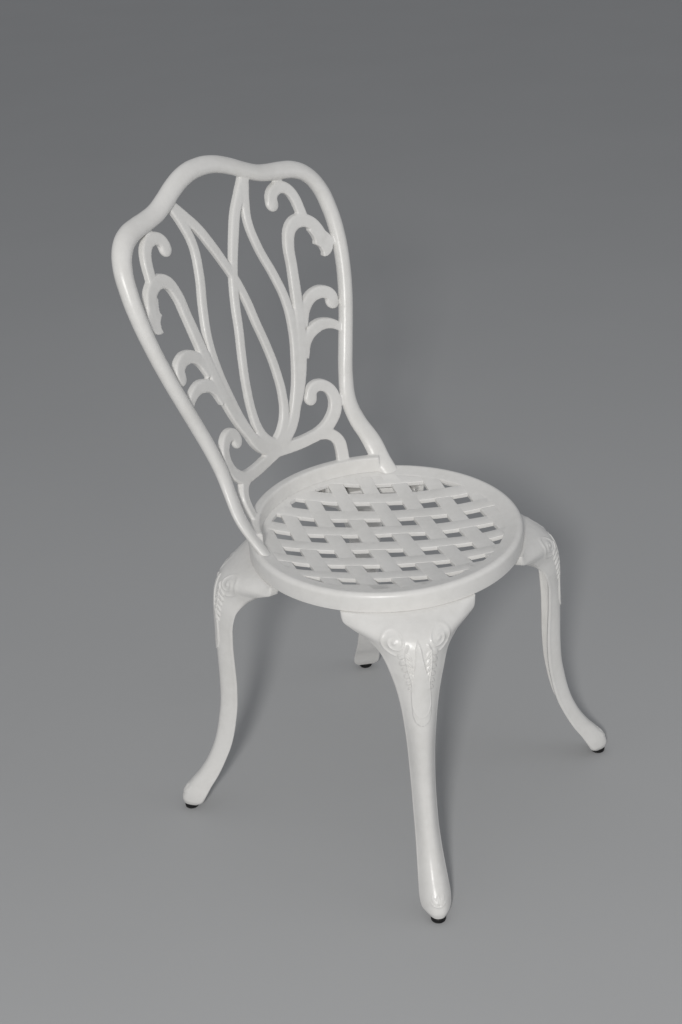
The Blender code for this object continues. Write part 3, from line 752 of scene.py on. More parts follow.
# %% Places of the bolts
LEG_ANGLES = {
    "front_right": math.radians(-135),
    "front_left": math.radians(-45),
    "rear_left": math.radians(45),
    "rear_right": math.radians(135),
}
LEG_BOLT_CIRCLE = 0.1725
LEG_BOLT_ANGLE = math.radians(19)
BACK_BOLT_CIRCLE = 0.178
BACK_BOLT_ANGLES = [math.radians(angle) for angle in (32.5, 76, 104, 147.5)]
LEG_BOLT_PLACES = [
    about(SEAT_MIDDLE, LEG_BOLT_CIRCLE, angle + side * LEG_BOLT_ANGLE)
    for angle in LEG_ANGLES.values()
    for side in (-1, 1)
]
BACK_BOLT_PLACES = [about(SEAT_MIDDLE, BACK_BOLT_CIRCLE, angle) for angle in BACK_BOLT_ANGLES]
print(len(LEG_BOLT_PLACES), "leg bolts and", len(BACK_BOLT_PLACES), "back bolts")

# %% Bosses, and the seat made whole
LEG_BOSS = 0.0085
BACK_BOSS = 0.0075
BACK_BOSS_DROP = 0.0125
BOLT_HOLE = 0.0033


def make_boss(radius, low, circle, place):
    """A round boss that widens where it meets the plate above it."""
    high = float(dish(circle)) - PLATE * 0.6
    profile = [(0.0, low), *arc((radius - 0.0008, low + 0.0008), 0.0008, -90, 0, 3)]
    profile += [(radius, high - 0.004), (radius + 0.0015, high), (0.0, high)]
    return turned("boss", profile, 32, place)


def make_seat():
    ring = turned("seat_casting", ring_profile(), 216, SEAT_MIDDLE)
    bottom = SEAT_TOP - RIM_DEPTH
    boss_bottom = SEAT_TOP - BACK_BOSS_DROP
    bosses = [make_boss(LEG_BOSS, bottom, LEG_BOLT_CIRCLE, place) for place in LEG_BOLT_PLACES]
    bosses += [make_boss(BACK_BOSS, boss_bottom, BACK_BOLT_CIRCLE, place) for place in BACK_BOLT_PLACES]
    seat = boolean(ring, [weave, *bosses], "UNION")
    holes = [plug(BOLT_HOLE, bottom - 0.01, bottom + 0.0131, place, 0.0019) for place in LEG_BOLT_PLACES]
    holes += [plug(BOLT_HOLE, bottom, SEAT_TOP + 0.01, place) for place in BACK_BOLT_PLACES]
    return boolean(seat, holes, "DIFFERENCE")


seat = make_seat()
finished(seat, powder_coat, ["seat"], 32.0)

# %% [markdown]
# ## Back
#
# The back is one casting too: a round rail, flat scrolls and a band at the foot, run together by
# soft fillets where the sand mould was rounded off. Each bar follows a line and swells and narrows
# along it, so each is drawn as a curve whose radius is its half width, and one tree sweeps a section
# along all of them.

# %% The rail and the scrolls, right half: across, above the seat, radius or half width
RAIL_HALF = (
    (0.1450, -0.012, 0.0094), (0.1466, 0.010, 0.0111), (0.1490, 0.038, 0.0128),
    (0.1440, 0.067, 0.0122), (0.1425, 0.096, 0.0114), (0.1512, 0.134, 0.0105), (0.1640, 0.171, 0.0102),
    (0.1785, 0.210, 0.0102), (0.1915, 0.248, 0.0103), (0.2020, 0.288, 0.0105), (0.2080, 0.328, 0.0112),
    (0.2080, 0.362, 0.0118), (0.2020, 0.392, 0.0122), (0.1885, 0.4115, 0.0123),
    (0.1700, 0.4220, 0.0121), (0.1480, 0.4265, 0.0117), (0.1260, 0.4290, 0.0114),
    (0.1040, 0.4330, 0.0114), (0.0810, 0.4420, 0.0115), (0.0570, 0.4530, 0.0116),
    (0.0290, 0.4622, 0.0117), (0.0000, 0.4652, 0.0117),
)
SCROLLS = {
    "tulip_outer": (
        (0.0735, 0.4340, 0.0085), (0.0640, 0.4080, 0.0070), (0.0570, 0.3800, 0.0066),
        (0.0610, 0.3440, 0.0066), (0.0760, 0.2960, 0.0067), (0.0838, 0.2600, 0.0067),
        (0.0828, 0.2200, 0.0068), (0.0735, 0.1750, 0.0072), (0.0580, 0.1270, 0.0082),
        (0.0360, 0.0900, 0.0095), (0.0080, 0.0710, 0.0095),
    ),
    "tulip_inner": (
        (0.0735, 0.4340, 0.0075), (0.0552, 0.4140, 0.0073), (0.0380, 0.3930, 0.0074),
        (0.0245, 0.3695, 0.0074), (0.0120, 0.3450, 0.0070), (-0.0010, 0.3160, 0.0068),
        (-0.0120, 0.2800, 0.0067), (-0.0178, 0.2500, 0.0066), (-0.0260, 0.2150, 0.0065),
        (-0.0326, 0.1750, 0.0065), (-0.0336, 0.1350, 0.0067), (-0.0286, 0.1090, 0.0073),
        (-0.0170, 0.0890, 0.0083), (0.0020, 0.0740, 0.0088),
    ),
    "hook": (
        (0.0480, 0.1060, 0.0080), (0.0695, 0.1400, 0.0080), (0.0855, 0.1800, 0.0084),
        (0.0965, 0.2200, 0.0084), (0.1045, 0.2600, 0.0084), (0.1120, 0.3000, 0.0080),
        (0.1185, 0.3330, 0.0084), (0.1300, 0.3510, 0.0090), (0.1480, 0.3565, 0.0094),
        (0.1645, 0.3510, 0.0096), (0.1755, 0.3380, 0.0096), (0.1795, 0.3240, 0.0090),
    ),
    "upper_leaf": (
        (0.1020, 0.2180, 0.0072), (0.1141, 0.2407, 0.0080), (0.1255, 0.2506, 0.0084),
        (0.1393, 0.2550, 0.0087), (0.1540, 0.2534, 0.0090), (0.1642, 0.2455, 0.0094),
        (0.1640, 0.2375, 0.0094),
    ),
    "lower_leaf": (
        (0.0900, 0.1750, 0.0070), (0.1025, 0.1985, 0.0080), (0.1210, 0.2095, 0.0088),
        (0.1430, 0.2105, 0.0078), (0.1620, 0.2010, 0.0064), (0.1710, 0.1905, 0.0046),
    ),
    "upper_scroll": (
        (0.1580, 0.3500, 0.0075), (0.1560, 0.3728, 0.0080), (0.1530, 0.3883, 0.0082),
        (0.1462, 0.4002, 0.0084), (0.1356, 0.4065, 0.0084), (0.1226, 0.4056, 0.0084),
        (0.1130, 0.3985, 0.0086), (0.1105, 0.3905, 0.0092),
    ),
    "lower_scroll": (
        (0.0000, 0.0660, 0.0085), (0.0340, 0.0618, 0.0088), (0.0640, 0.0615, 0.0084),
        (0.0875, 0.0655, 0.0086), (0.1054, 0.0757, 0.0089), (0.1188, 0.0920, 0.0092),
        (0.1212, 0.1116, 0.0090), (0.1137, 0.1245, 0.0087), (0.1000, 0.1306, 0.0084),
        (0.0870, 0.1265, 0.0086), (0.0832, 0.1180, 0.0092),
    ),
    "foot_strip": (
        (0.0800, 0.0620, 0.0070), (0.0965, 0.0583, 0.0086), (0.1068, 0.0467, 0.0092),
        (0.1068, 0.0320, 0.0082), (0.1040, 0.0190, 0.0080), (0.1025, 0.0060, 0.0095),
    ),
}
SCROLL_ENDS = ((0.1640, 0.2370, 0.0112), (0.1105, 0.3890, 0.0110), (0.0828, 0.1165, 0.0110))
LEAF_TIP = (
    (0.1590, 0.3400), (0.1640, 0.3300), (0.1648, 0.3240), (0.1625, 0.3190), (0.1670, 0.3165),
    (0.1712, 0.3120), (0.1725, 0.3060), (0.1712, 0.3000), (0.1760, 0.2995), (0.1830, 0.3010),
    (0.1885, 0.3050), (0.1945, 0.3130), (0.1950, 0.3230), (0.1915, 0.3285), (0.1862, 0.3345),
    (0.1790, 0.3420),
)
LEAF_TIP_HALF = 0.0060
STRIP_FLATNESS = 0.78
STRIP_FACE = 0.0065
STRIP_SET_BACK = 0.0012
RAIL_LEVELS = (-0.012, 0.012, 0.035, 0.070, 0.105, 0.160, 0.420, 0.460)
RAIL_THICKNESS = (0.78, 0.68, 0.62, 0.64, 0.82, 1.0, 1.0, 0.94)
print(len(SCROLLS), "scrolls on each side")

# %% [markdown]
# The back is bowed round the sitter and leans away from the seat. It could be modelled bent from the
# start, but a flat drawing is far easier to get right. So the bow is a formula, which says how far
# back a point lies, and all that is drawn flat is moved onto that surface.

# %% The bowed surface of the back
def back_depth(across, height):
    """How far behind the seat's middle the back lies, for numbers or arrays."""
    middle = 0.177 + 0.108 * height + 0.258 * height**2
    bow = 1.00 - 1.40 * height + 2.50 * np.exp(-height / 0.060)
    return middle - bow * across**2


def on_back(across, height, proud):
    """The place on the back, standing proud of it towards the rear, in the frame's axes."""
    nudge = 0.001
    slope = (back_depth(across + nudge, height) - back_depth(across - nudge, height)) / (2 * nudge)
    length = np.sqrt(slope**2 + 1)
    x = across - proud * slope / length
    y = back_depth(across, height) + proud / length
    return np.stack([SEAT_MIDDLE.x + x, SEAT_MIDDLE.y + y, SEAT_TOP + height], axis=-1)


def points_of(piece):
    points = np.zeros(len(piece.data.vertices) * 3)
    piece.data.vertices.foreach_get("co", points)
    return points.reshape(-1, 3)


def move_points(piece, points):
    piece.data.vertices.foreach_set("co", np.ascontiguousarray(points, dtype=np.float32).ravel())
    piece.data.update()
    return piece


print("top of the rail lies", round(float(back_depth(0.0, 0.4655)), 4), "behind the seat's middle")

# %% Tree that sweeps a section along middle lines
def make_sweep_tree():
    graph, given = new_tree(
        "swept_bars",
        object=["Middle Lines"],
        number=["Flatness", "Corner", "Crown", "Step"],
        count=["Corner Steps"],
        finish=["Finish"],
    )
    lines = graph.add("GeometryNodeObjectInfo", None, {"Object": given["Middle Lines"]}, "Geometry")
    lines = resampled(graph, lines, given["Step"])
    radius = graph.add("GeometryNodeInputRadius")
    even = graph.add("GeometryNodeBlurAttribute", {"data_type": "FLOAT"}, {"Value": radius, "Iterations": 4})
    section = section_curve(graph, 2.0, given["Flatness"] * 2, given["Corner"], given["Corner Steps"])
    section = graph.add("GeometryNodeSubdivideCurve", None, {"Curve": section, "Cuts": 2})
    x, y, _ = place_parts(graph)
    section = moved_to(graph, section, vector(graph, x, y * (1 - given["Crown"] * x * x)))
    inputs = {"Curve": lines, "Profile Curve": section, "Scale": even, "Fill Caps": True}
    bars = graph.add("GeometryNodeCurveToMesh", None, inputs)
    return end_tree(graph, bars, given["Finish"])


sweep_tree = make_sweep_tree()
print(sweep_tree.name, len(sweep_tree.nodes), "nodes")

# %% Bars swept along smooth lines
def middle_lines(name, runs):
    """A curve object with a smooth spline for each run of (across, height, half width) points."""
    curve = bpy.data.curves.new(name, "CURVE")
    curve.dimensions = "3D"
    curve.resolution_u = 12
    for run in runs:
        spline = curve.splines.new("BEZIER")
        spline.bezier_points.add(len(run) - 1)
        for point, (across, height, half_width) in zip(spline.bezier_points, run):
            point.co = (across, height, 0.0)
            point.radius = half_width
            point.handle_left_type = "AUTO"
            point.handle_right_type = "AUTO"
    return add_object(name, curve)


def swept(name, runs, flatness, corner, crown, step):
    lines = middle_lines(name + "_lines", runs)
    settings = {"Middle Lines": lines, "Flatness": flatness, "Corner": corner, "Corner Steps": 5}
    bars = run_tree(name, sweep_tree, {**settings, "Crown": crown, "Step": step, "Finish": powder_coat})
    drop(lines)
    return bars


print("bars can be swept")

# %% Scrollwork and rail, drawn flat and bent
SCROLL_END_FLATNESS = 0.68


def other_side(points):
    return [(-across, *rest) for across, *rest in points]


def scroll_end(across, height, radius):
    bm = bmesh.new()
    size = Matrix.Diagonal((radius, radius, radius * SCROLL_END_FLATNESS, 1.0))
    place = Matrix.Translation((across, height, 0.0)) @ size
    bmesh.ops.create_uvsphere(bm, u_segments=24, v_segments=12, radius=1.0, matrix=place)
    mesh = bpy.data.meshes.new("scroll_end")
    bm.to_mesh(mesh)
    bm.free()
    return add_object("scroll_end", mesh)


def make_scrollwork():
    """Bars, round ends and leaf tips, drawn flat and then laid on the bowed back."""
    runs = [change(points) for change in (other_side, list) for points in SCROLLS.values()]
    pieces = [swept("scroll_bars", runs, STRIP_FLATNESS, 0.34, 0.05, 0.0022)]
    for change in (other_side, list):
        pieces += [scroll_end(*end) for end in change(SCROLL_ENDS)]
        pieces.append(prism("leaf_tip", change(LEAF_TIP), -LEAF_TIP_HALF, LEAF_TIP_HALF))
    flat = joined("scrollwork", pieces)
    across, height, proud = points_of(flat).T
    proud = STRIP_FACE * np.tanh(proud / STRIP_FACE)
    set_back = np.interp(height, (0.34, 0.42), (STRIP_SET_BACK, 0.0))
    return move_points(flat, on_back(across, height, proud + set_back))


def make_rail():
    """The rail, round above and flattened towards its feet."""
    run = [*other_side(RAIL_HALF[:-1]), *reversed(RAIL_HALF)]
    rail = swept("rail", [run], 1.0, 1.0, 0.0, 0.003)
    across, height, proud = points_of(rail).T
    thickness = np.interp(height, RAIL_LEVELS, RAIL_THICKNESS)
    return move_points(rail, on_back(across, height, proud * thickness))


scrollwork = make_scrollwork()
rail = make_rail()
print("scrollwork", triangles(scrollwork), "rail", triangles(rail))

# %% [markdown]
# The rail, the scrolls and the band at the foot are solids that overlap. A Boolean would leave hard
# creases where they meet. A fine voxel remesh turns them into one skin instead, smoothing runs its
# corners into fillets, and Decimate takes out the points that plain stretches don't need. The space
# that the seat fills is then cut from the foot, so that the casting sits on the rim.

# %% Foot band, and the casting fused, smoothed and cut to the seat
BAND_INNER, BAND_OUTER = 0.172, 0.1867
BAND_BOTTOM, BAND_TOP = SEAT_TOP - 0.0115, SEAT_TOP + 0.018
BAND_HALF_ANGLE = math.radians(52)
FUSE_VOXEL = 0.0013
FUSE_SMOOTHING = 3
BACK_TRIANGLES = 178000


def make_band():
    outline = rounded_oblong(BAND_INNER, BAND_OUTER, BAND_BOTTOM, BAND_TOP, 0.0035)
    return ring_sector("band", outline, math.pi / 2, BAND_HALF_ANGLE, 72, SEAT_MIDDLE)


def fused(piece):
    """Runs overlapping solids together as one skin, and thins it where it is plain."""
    remesh = piece.modifiers.new("fuse", "REMESH")
    remesh.mode = "VOXEL"
    remesh.voxel_size = FUSE_VOXEL
    relax = piece.modifiers.new("relax", "SMOOTH")
    relax.factor = 0.5
    relax.iterations = FUSE_SMOOTHING
    made_real(piece)
    before = triangles(piece)
    if before > BACK_TRIANGLES:
        thin = piece.modifiers.new("thin", "DECIMATE")
        thin.ratio = BACK_TRIANGLES / before
        thin.use_collapse_triangulate = True
        made_real(piece)
    print(piece.name, "fused", before, "thinned", triangles(piece))
    return piece


def seat_envelope():
    """The space that the seat fills, up to the clearance above its top."""
    leaves, circle, level = rim_arc()
    outline = dish_points(0.0, leaves, 24, -GAP)[:-1] + arc((circle, level), RIM_ROUND + GAP, 110, 15, 8)
    outer, low = SEAT_RADIUS + 0.03, SEAT_TOP - 0.08
    return turned("envelope", [*outline, (outer, level), (outer, low), (0.0, low)], 180, SEAT_MIDDLE)


def make_backrest():
    back = fused(joined("back_casting", [scrollwork, rail, make_band()]))
    low, high = SEAT_TOP - 0.03, SEAT_TOP - 0.0004
    holes = [plug(BOLT_HOLE, low, high, place, 0.0015) for place in BACK_BOLT_PLACES]
    return boolean(back, [seat_envelope(), *holes], "DIFFERENCE")


backrest = make_backrest()
finished(backrest, powder_coat, ["backrest"], 50.0)

# %% [markdown]
# ## Legs
#
# Each leg is a cabriole: a broad collar under the rim, a knee with carved leaves, a slim shank with a
# hollow back, and a foot. A leg could be sculpted from a box, but its sections are known, so it is
# lofted. The table gives a section at a few levels, and a smooth curve gives those in between.

# %% Sizes of a leg: share of its height, outer face, side edge, half width, inner face, follow
LEG_ROWS = (
    (0.0000, 0.1332, 0.1160, 0.0150, 0.1100, 0.0),
    (0.0188, 0.1346, 0.1095, 0.0207, 0.1050, 0.0),
    (0.0463, 0.1314, 0.1015, 0.0218, 0.0990, 0.0),
    (0.0814, 0.1213, 0.0922, 0.0209, 0.0910, 0.0),
    (0.1265, 0.1052, 0.0797, 0.0193, 0.0787, 0.0),
    (0.1891, 0.0890, 0.0661, 0.0176, 0.0651, 0.0),
    (0.2643, 0.0764, 0.0534, 0.0167, 0.0525, 0.0),
    (0.3520, 0.0678, 0.0449, 0.0167, 0.0440, 0.0),
    (0.4396, 0.0622, 0.0396, 0.0174, 0.0387, 0.0),
    (0.5398, 0.0602, 0.0375, 0.0190, 0.0366, 0.0),
    (0.6526, 0.0594, 0.0376, 0.0227, 0.0367, 0.0),
    (0.7427, 0.0578, 0.0362, 0.0278, 0.0354, 0.0),
    (0.8204, 0.0568, 0.0300, 0.0354, 0.0338, 0.1),
    (0.8780, 0.0540, 0.0170, 0.0446, 0.0320, 0.5),
    (0.9206, 0.0492, 0.0030, 0.0600, 0.0328, 0.9),
    (0.9481, 0.0430, -0.0090, 0.0775, 0.0300, 1.0),
    (0.9657, 0.0350, -0.0170, 0.0875, 0.0230, 1.0),
    (0.9832, 0.0230, -0.0185, 0.0890, 0.0115, 1.0),
    (1.0000, 0.0045, -0.0190, 0.0895, -0.0060, 1.0),
)
LEG_TOP = SEAT_TOP - RIM_DEPTH - GAP
GLIDE_HEIGHT = 0.0092
LEG_BOTTOM = GLIDE_HEIGHT + GAP
LEG_LENGTH = LEG_TOP - LEG_BOTTOM
CHANNEL_WALL = 0.0052
CHANNEL_FACE = 0.0075
FRONT_POINTS = 101


def smooth_between(known, values, wanted):
    """A smooth curve through known values that never swings past them."""
    steps = np.diff(known)
    slopes = np.diff(values) / steps
    tangents = np.zeros(len(known))
    same = slopes[:-1] * slopes[1:] > 0
    weights = np.where(same, slopes[:-1] + slopes[1:], 1.0)
    tangents[1:-1] = np.where(same, 2 * slopes[:-1] * slopes[1:] / weights, 0.0)
    tangents[0], tangents[-1] = slopes[0], slopes[-1]
    i = np.clip(np.searchsorted(known, wanted) - 1, 0, len(steps) - 1)
    t = (wanted - known[i]) / steps[i]
    rise = t * t * (3 - 2 * t)
    start = t * (1 - t) ** 2 * steps[i] * tangents[i]
    end = t * t * (t - 1) * steps[i] * tangents[i + 1]
    return values[i] * (1 - rise) + values[i + 1] * rise + start + end


def smoothstep(low, high, value):
    share = np.clip((value - low) / (high - low), 0.0, 1.0)
    return share * share * (3 - 2 * share)


rows = np.array(LEG_ROWS)
stretches = ((0.0, 0.13, 40), (0.13, 0.62, 60), (0.62, 1.0, 150))
foot, shank, knee = [np.linspace(*stretch) for stretch in stretches]
LEG_SHARES = np.concatenate([foot, shank[1:], knee[1:]])
LEG_SIZES = np.stack([smooth_between(rows[:, 0], rows[:, i], LEG_SHARES) for i in range(1, 6)])
print(len(LEG_SHARES), "levels from", round(LEG_BOTTOM, 4), "to", round(LEG_TOP, 4))

# %% [markdown]
# The knee is carved with a tongue between two ribs of leaves, under two volutes, and the foot with
# three small leaves over a bow. A picture could displace the surface, but lines would come out ragged.
# Here each mark is a height worked out from the distance to its path, in millimetres across and down
# the leg, and where marks overlap the highest one counts.

# %% Strokes, lobes and volutes
def stroke(across, down, path, width, height):
    """A rounded ridge along a path of points, as heights at the places asked for."""
    nearest = np.full(across.shape, 1e9)
    for start, end in zip(path[:-1], path[1:]):
        run = end - start
        share = ((across - start[0]) * run[0] + (down - start[1]) * run[1]) / (run @ run)
        share = np.clip(share, 0.0, 1.0)
        gap = np.hypot(across - start[0] - share * run[0], down - start[1] - share * run[1])
        nearest = np.minimum(nearest, gap)
    return height * np.clip(1 - (nearest / width) ** 2, 0.0, 1.0) ** 1.5


def lobe(across, down, root, reach, width, height):
    """A leaf lobe that reaches out from its root, widest in its middle, with a sunken vein."""
    length = np.hypot(*reach)
    unit = np.array(reach) / length
    along = ((across - root[0]) * unit[0] + (down - root[1]) * unit[1]) / length
    aside = -(across - root[0]) * unit[1] + (down - root[1]) * unit[0]
    half = width * np.sqrt(np.clip(np.sin(np.pi * np.clip(along, 0.0, 1.0)), 0.0, 1.0)) + 1e-9
    inside = np.clip(1 - (aside / half) ** 2, 0.0, 1.0) * ((along > 0) & (along < 1))
    vein = np.exp(-((aside / (width * 0.22)) ** 2))
    return height * np.sqrt(inside) * (1 - 0.55 * vein)


def volute(eye, side):
    """A path that winds in towards its eye."""
    turns = np.pi / 2 - side * np.linspace(0.0, 2 * np.pi * 1.6, 64)
    radii = np.linspace(17.0, 4.5, len(turns))
    return eye + np.stack([radii * np.cos(turns), radii * np.sin(turns)], axis=-1)


print("strokes, lobes and volutes are ready")

# %% Carving of the knee and the foot
LEAF_RIB = ((13.0, 25.0), (16.5, 33.0), (16.0, 45.0), (14.0, 58.0), (11.5, 70.0), (10.0, 84.0))
TONGUE_SHARES = (0.73, 0.78, 0.83, 0.87, 0.90, 0.93, 0.955)
TONGUE_HALVES = (12.6, 12.8, 10.0, 7.0, 5.0, 4.0, 0.0)


def tongue_half(share, tip_shares, tip_halves):
    """Half width of the tongue down the knee, above a tip of its own shape."""
    return np.interp(share, (*tip_shares, *TONGUE_SHARES), (*tip_halves, *TONGUE_HALVES))


def knee_relief(across, down, share):
    """Height of the carving, in millimetres as the places are."""
    half = tongue_half(share, (0.652, 0.656, 0.668, 0.695), (0.0, 4.5, 9.5, 12.2))
    body = 1.55 * smoothstep(-0.4, 1.4, half - np.abs(across)) * (half > 0)
    half = tongue_half(share, (0.684, 0.688, 0.70), (0.0, 4.0, 9.0)) - 1.2
    border = 0.45 * np.exp(-(((half - np.abs(across)) / 0.9) ** 2)) * (half > 0)
    marks = [body + border]
    for side in (-1, 1):
        marks.append(stroke(across, down, np.array(LEAF_RIB) * (side, 1), 1.8, 2.2))
        for i in range(6):
            root = (side * (17.0 - 1.3 * i), 33.0 + 9.0 * i)
            outward, inward = (side * (8.5 - 0.7 * i), 8.5), (side * (0.8 * i - 7.5), 9.0)
            marks.append(lobe(across, down, root, outward, 3.6 - 0.22 * i, 2.1))
            marks.append(lobe(across, down, root, inward, 3.2 - 0.22 * i, 2.1))
        eye = np.array([side * 29.0, 21.5])
        marks.append(stroke(across, down, volute(eye, side), 1.8, 1.4))
        marks.append(stroke(across, down, [eye, eye + 0.01], 4.0, 1.6))
    return np.maximum.reduce(marks)


def foot_relief(across, down):
    """Three small leaves and a bow on the foot, in millimetres."""
    level = 0.93 * LEG_LENGTH * 1000
    marks = []
    for lean in (-1, 0, 1):
        reach = (lean * 6.5, -11.0 + 2.5 * abs(lean))
        marks.append(lobe(across, down, (lean * 2.0, level + 7.0), reach, 2.6, 1.2))
    bow = np.array([[x, level + 9.5 - 0.045 * x * x] for x in np.linspace(-9.0, 9.0, 13)])
    return np.maximum.reduce([*marks, stroke(across, down, bow, 1.6, 1.0)])


def relief(across, share):
    """Height of the relief at one level of the leg, with all sizes in metres."""
    down = (1 - share) * LEG_LENGTH * 1000
    if share > 0.6:
        return knee_relief(across * 1000, down, share) / 1000
    return foot_relief(across * 1000, down) / 1000


print("the ribs have", len(LEAF_RIB), "points each")

# %% [markdown]
# A section runs over the front, round the edge, along the flank and through the channel in the back.
# Its corners are rounded by short curves, because a Bevel modifier would round the carving as well.
# All sections have the same number of points, or they couldn't be lofted, so the channel doesn't end
# above the foot: its floor comes up until it is level with the inner face.

# %% Front of a section
def eased(first, corner, last, steps):
    """A quadratic curve that rounds a corner, without its first point."""
    shares = np.linspace(0.0, 1.0, steps + 1)[1:, None]
    return (1 - shares) ** 2 * first + 2 * shares * (1 - shares) * corner + shares**2 * last


def front_reach(outer, edge, half, across, power):
    return edge + (outer - edge) * (1 - np.abs(across / half) ** power)


def leg_front(share, knee, outer, edge, half, power, round_edge):
    """The front of a section, with its relief and a fine lip along both edges."""
    spread = np.linspace(-1.0, 1.0, FRONT_POINTS)
    even = 1.2 - 0.58 * knee
    across = (even * spread + (1 - even) * spread**3) * (half - round_edge)
    reach = front_reach(outer, edge, half, across, power)
    from_edge = np.hypot(reach - reach[0], half - round_edge - np.abs(across))
    lip = 0.0005 * np.exp(-((from_edge / 0.0016) ** 2)) * smoothstep(0.04, 0.14, share)
    slope = -power * (outer - edge) * np.sign(across) * np.abs(across) ** (power - 1) / half**power
    rise = (relief(across, share) + lip) / np.sqrt(slope**2 + 1)
    return np.stack([reach + rise, across - slope * rise], axis=-1)


print(FRONT_POINTS, "points across the front")

# %% The whole section
BACK_SHARE = 0.94
FLANK_END = 0.0012
WALL_ROUND = 0.0008
FLOOR_ROUND = 0.0022


def leg_ring(share, sizes):
    """The closed section at one level of a leg that stands on +X, as (reach, across) points."""
    outer, edge, half, inner, follow = sizes + SEAT_RADIUS * np.array([1, 1, 0, 1, 0])
    knee = smoothstep(0.60, 0.82, share)
    power = 2.5 - 0.5 * knee
    round_edge = 0.0009 + 0.0015 * knee
    front = leg_front(share, knee, outer, edge, half, power, round_edge)
    depth = smoothstep(0.23, 0.27, share) * smoothstep(0.86, 0.815, share)
    back_half = half * BACK_SHARE
    wall = min(half - CHANNEL_WALL, back_half - 0.003)

    def on_inner(across):
        return np.array([inner - follow * (outer - edge) * (across / back_half) ** 2, across])

    def on_floor(across):
        shallow = on_inner(across)[0]
        deep = front_reach(outer, edge, half, across, power) - CHANNEL_FACE
        return np.array([shallow * (1 - depth) + max(deep, shallow) * depth, across])

    corner = np.array([edge, half])
    behind = on_inner(back_half)
    flank = behind - corner
    flank_length = np.hypot(*flank)
    near = corner + flank * min(round_edge / flank_length, 0.45)
    far = behind - flank * min(FLANK_END / flank_length, 0.3)
    lip_end = on_inner(wall + WALL_ROUND)
    ledge = on_inner(wall) + depth * np.array([WALL_ROUND, -0.0003])
    side = [
        eased(front[-1], corner, near, 5),
        np.linspace(near, far, 4)[1:],
        eased(far, behind, on_inner(back_half - FLANK_END), 3),
        lip_end[None],
        eased(lip_end, on_inner(wall), ledge, 2),
        eased(ledge, on_floor(wall - 0.0006), on_floor(wall - FLOOR_ROUND), 4),
    ]
    side = np.concatenate(side)
    bottom = [on_floor(across) for across in np.linspace(wall - FLOOR_ROUND, FLOOR_ROUND - wall, 11)[1:-1]]
    return np.concatenate([front, side, bottom, side[::-1] * (1, -1)])


print(len(leg_ring(0.5, LEG_SIZES[:, 60])), "points in a section")

# %% [markdown]
# The four legs are the same casting, so one is made on +X as a pattern and copied to each corner.
# Inside the collar a pad takes the two bolts, and the foot has a socket for its glide. Each copy is
# turned in its mesh, not by its object, so that patterns on Object coordinates don't turn with it.

# %% Loft, pad and holes of the leg
PAD_INNER, PAD_OUTER = 0.162, 0.186
PAD_THICKNESS = 0.008
PAD_HALF_ANGLE = math.radians(25)
GLIDE_REACH = SEAT_RADIUS + 0.122
SOCKET_RADIUS = 0.0043
SOCKET_DEPTH = 0.012


def make_leg_pattern():
    """A leg that stands on +X, round the seat's middle moved to the origin."""
    rings = []
    for i, share in enumerate(LEG_SHARES):
        level = LEG_BOTTOM + share * LEG_LENGTH
        rings.append([(reach, across, level) for reach, across in leg_ring(share, LEG_SIZES[:, i])])
    outline = rounded_oblong(PAD_INNER, PAD_OUTER, LEG_TOP - PAD_THICKNESS, LEG_TOP, 0.0012, 3)
    pad = ring_sector("pad", outline, 0.0, PAD_HALF_ANGLE, 30)
    leg = boolean(lofted("leg", rings), [pad], "UNION")
    socket = (SOCKET_RADIUS, LEG_BOTTOM - 0.01, LEG_BOTTOM + SOCKET_DEPTH, (GLIDE_REACH, 0.0))
    tools = [plug(*socket, steps=32)]
    for side in (-1, 1):
        place = about((0.0, 0.0), LEG_BOLT_CIRCLE, side * LEG_BOLT_ANGLE)
        tools.append(plug(BOLT_HOLE, LEG_TOP - 0.03, LEG_TOP + 0.01, place))
    return boolean(leg, tools, "DIFFERENCE")


leg_pattern = make_leg_pattern()
print("leg", triangles(leg_pattern), "triangles")

# %% Four legs from one pattern
def placed_copy(pattern, name, turn, middle):
    """The pattern turned about the upright axis and moved, with its place in its mesh."""
    mesh = pattern.data.copy()
    mesh.transform(Matrix.Translation(middle) @ Matrix.Rotation(turn, 4, "Z"))
    return add_object(name, mesh)


for leg_name, leg_angle in LEG_ANGLES.items():
    leg = placed_copy(leg_pattern, f"leg_casting_{leg_name}", leg_angle, SEAT_MIDDLE)
    finished(leg, powder_coat, [f"leg_{leg_name}"], 42.0)
drop(leg_pattern)

# %% [markdown]
# ## Glides
#
# A glide is a moulded plug that keeps the painted foot off the floor. It is turned, like most small
# round things, with a soft lower edge, a shallow groove where the mould closed and a stem above.

# %% Glides
GLIDE_RADIUS = 0.0102
STEM_RADIUS = 0.0040
STEM_GROOVE = 0.0004


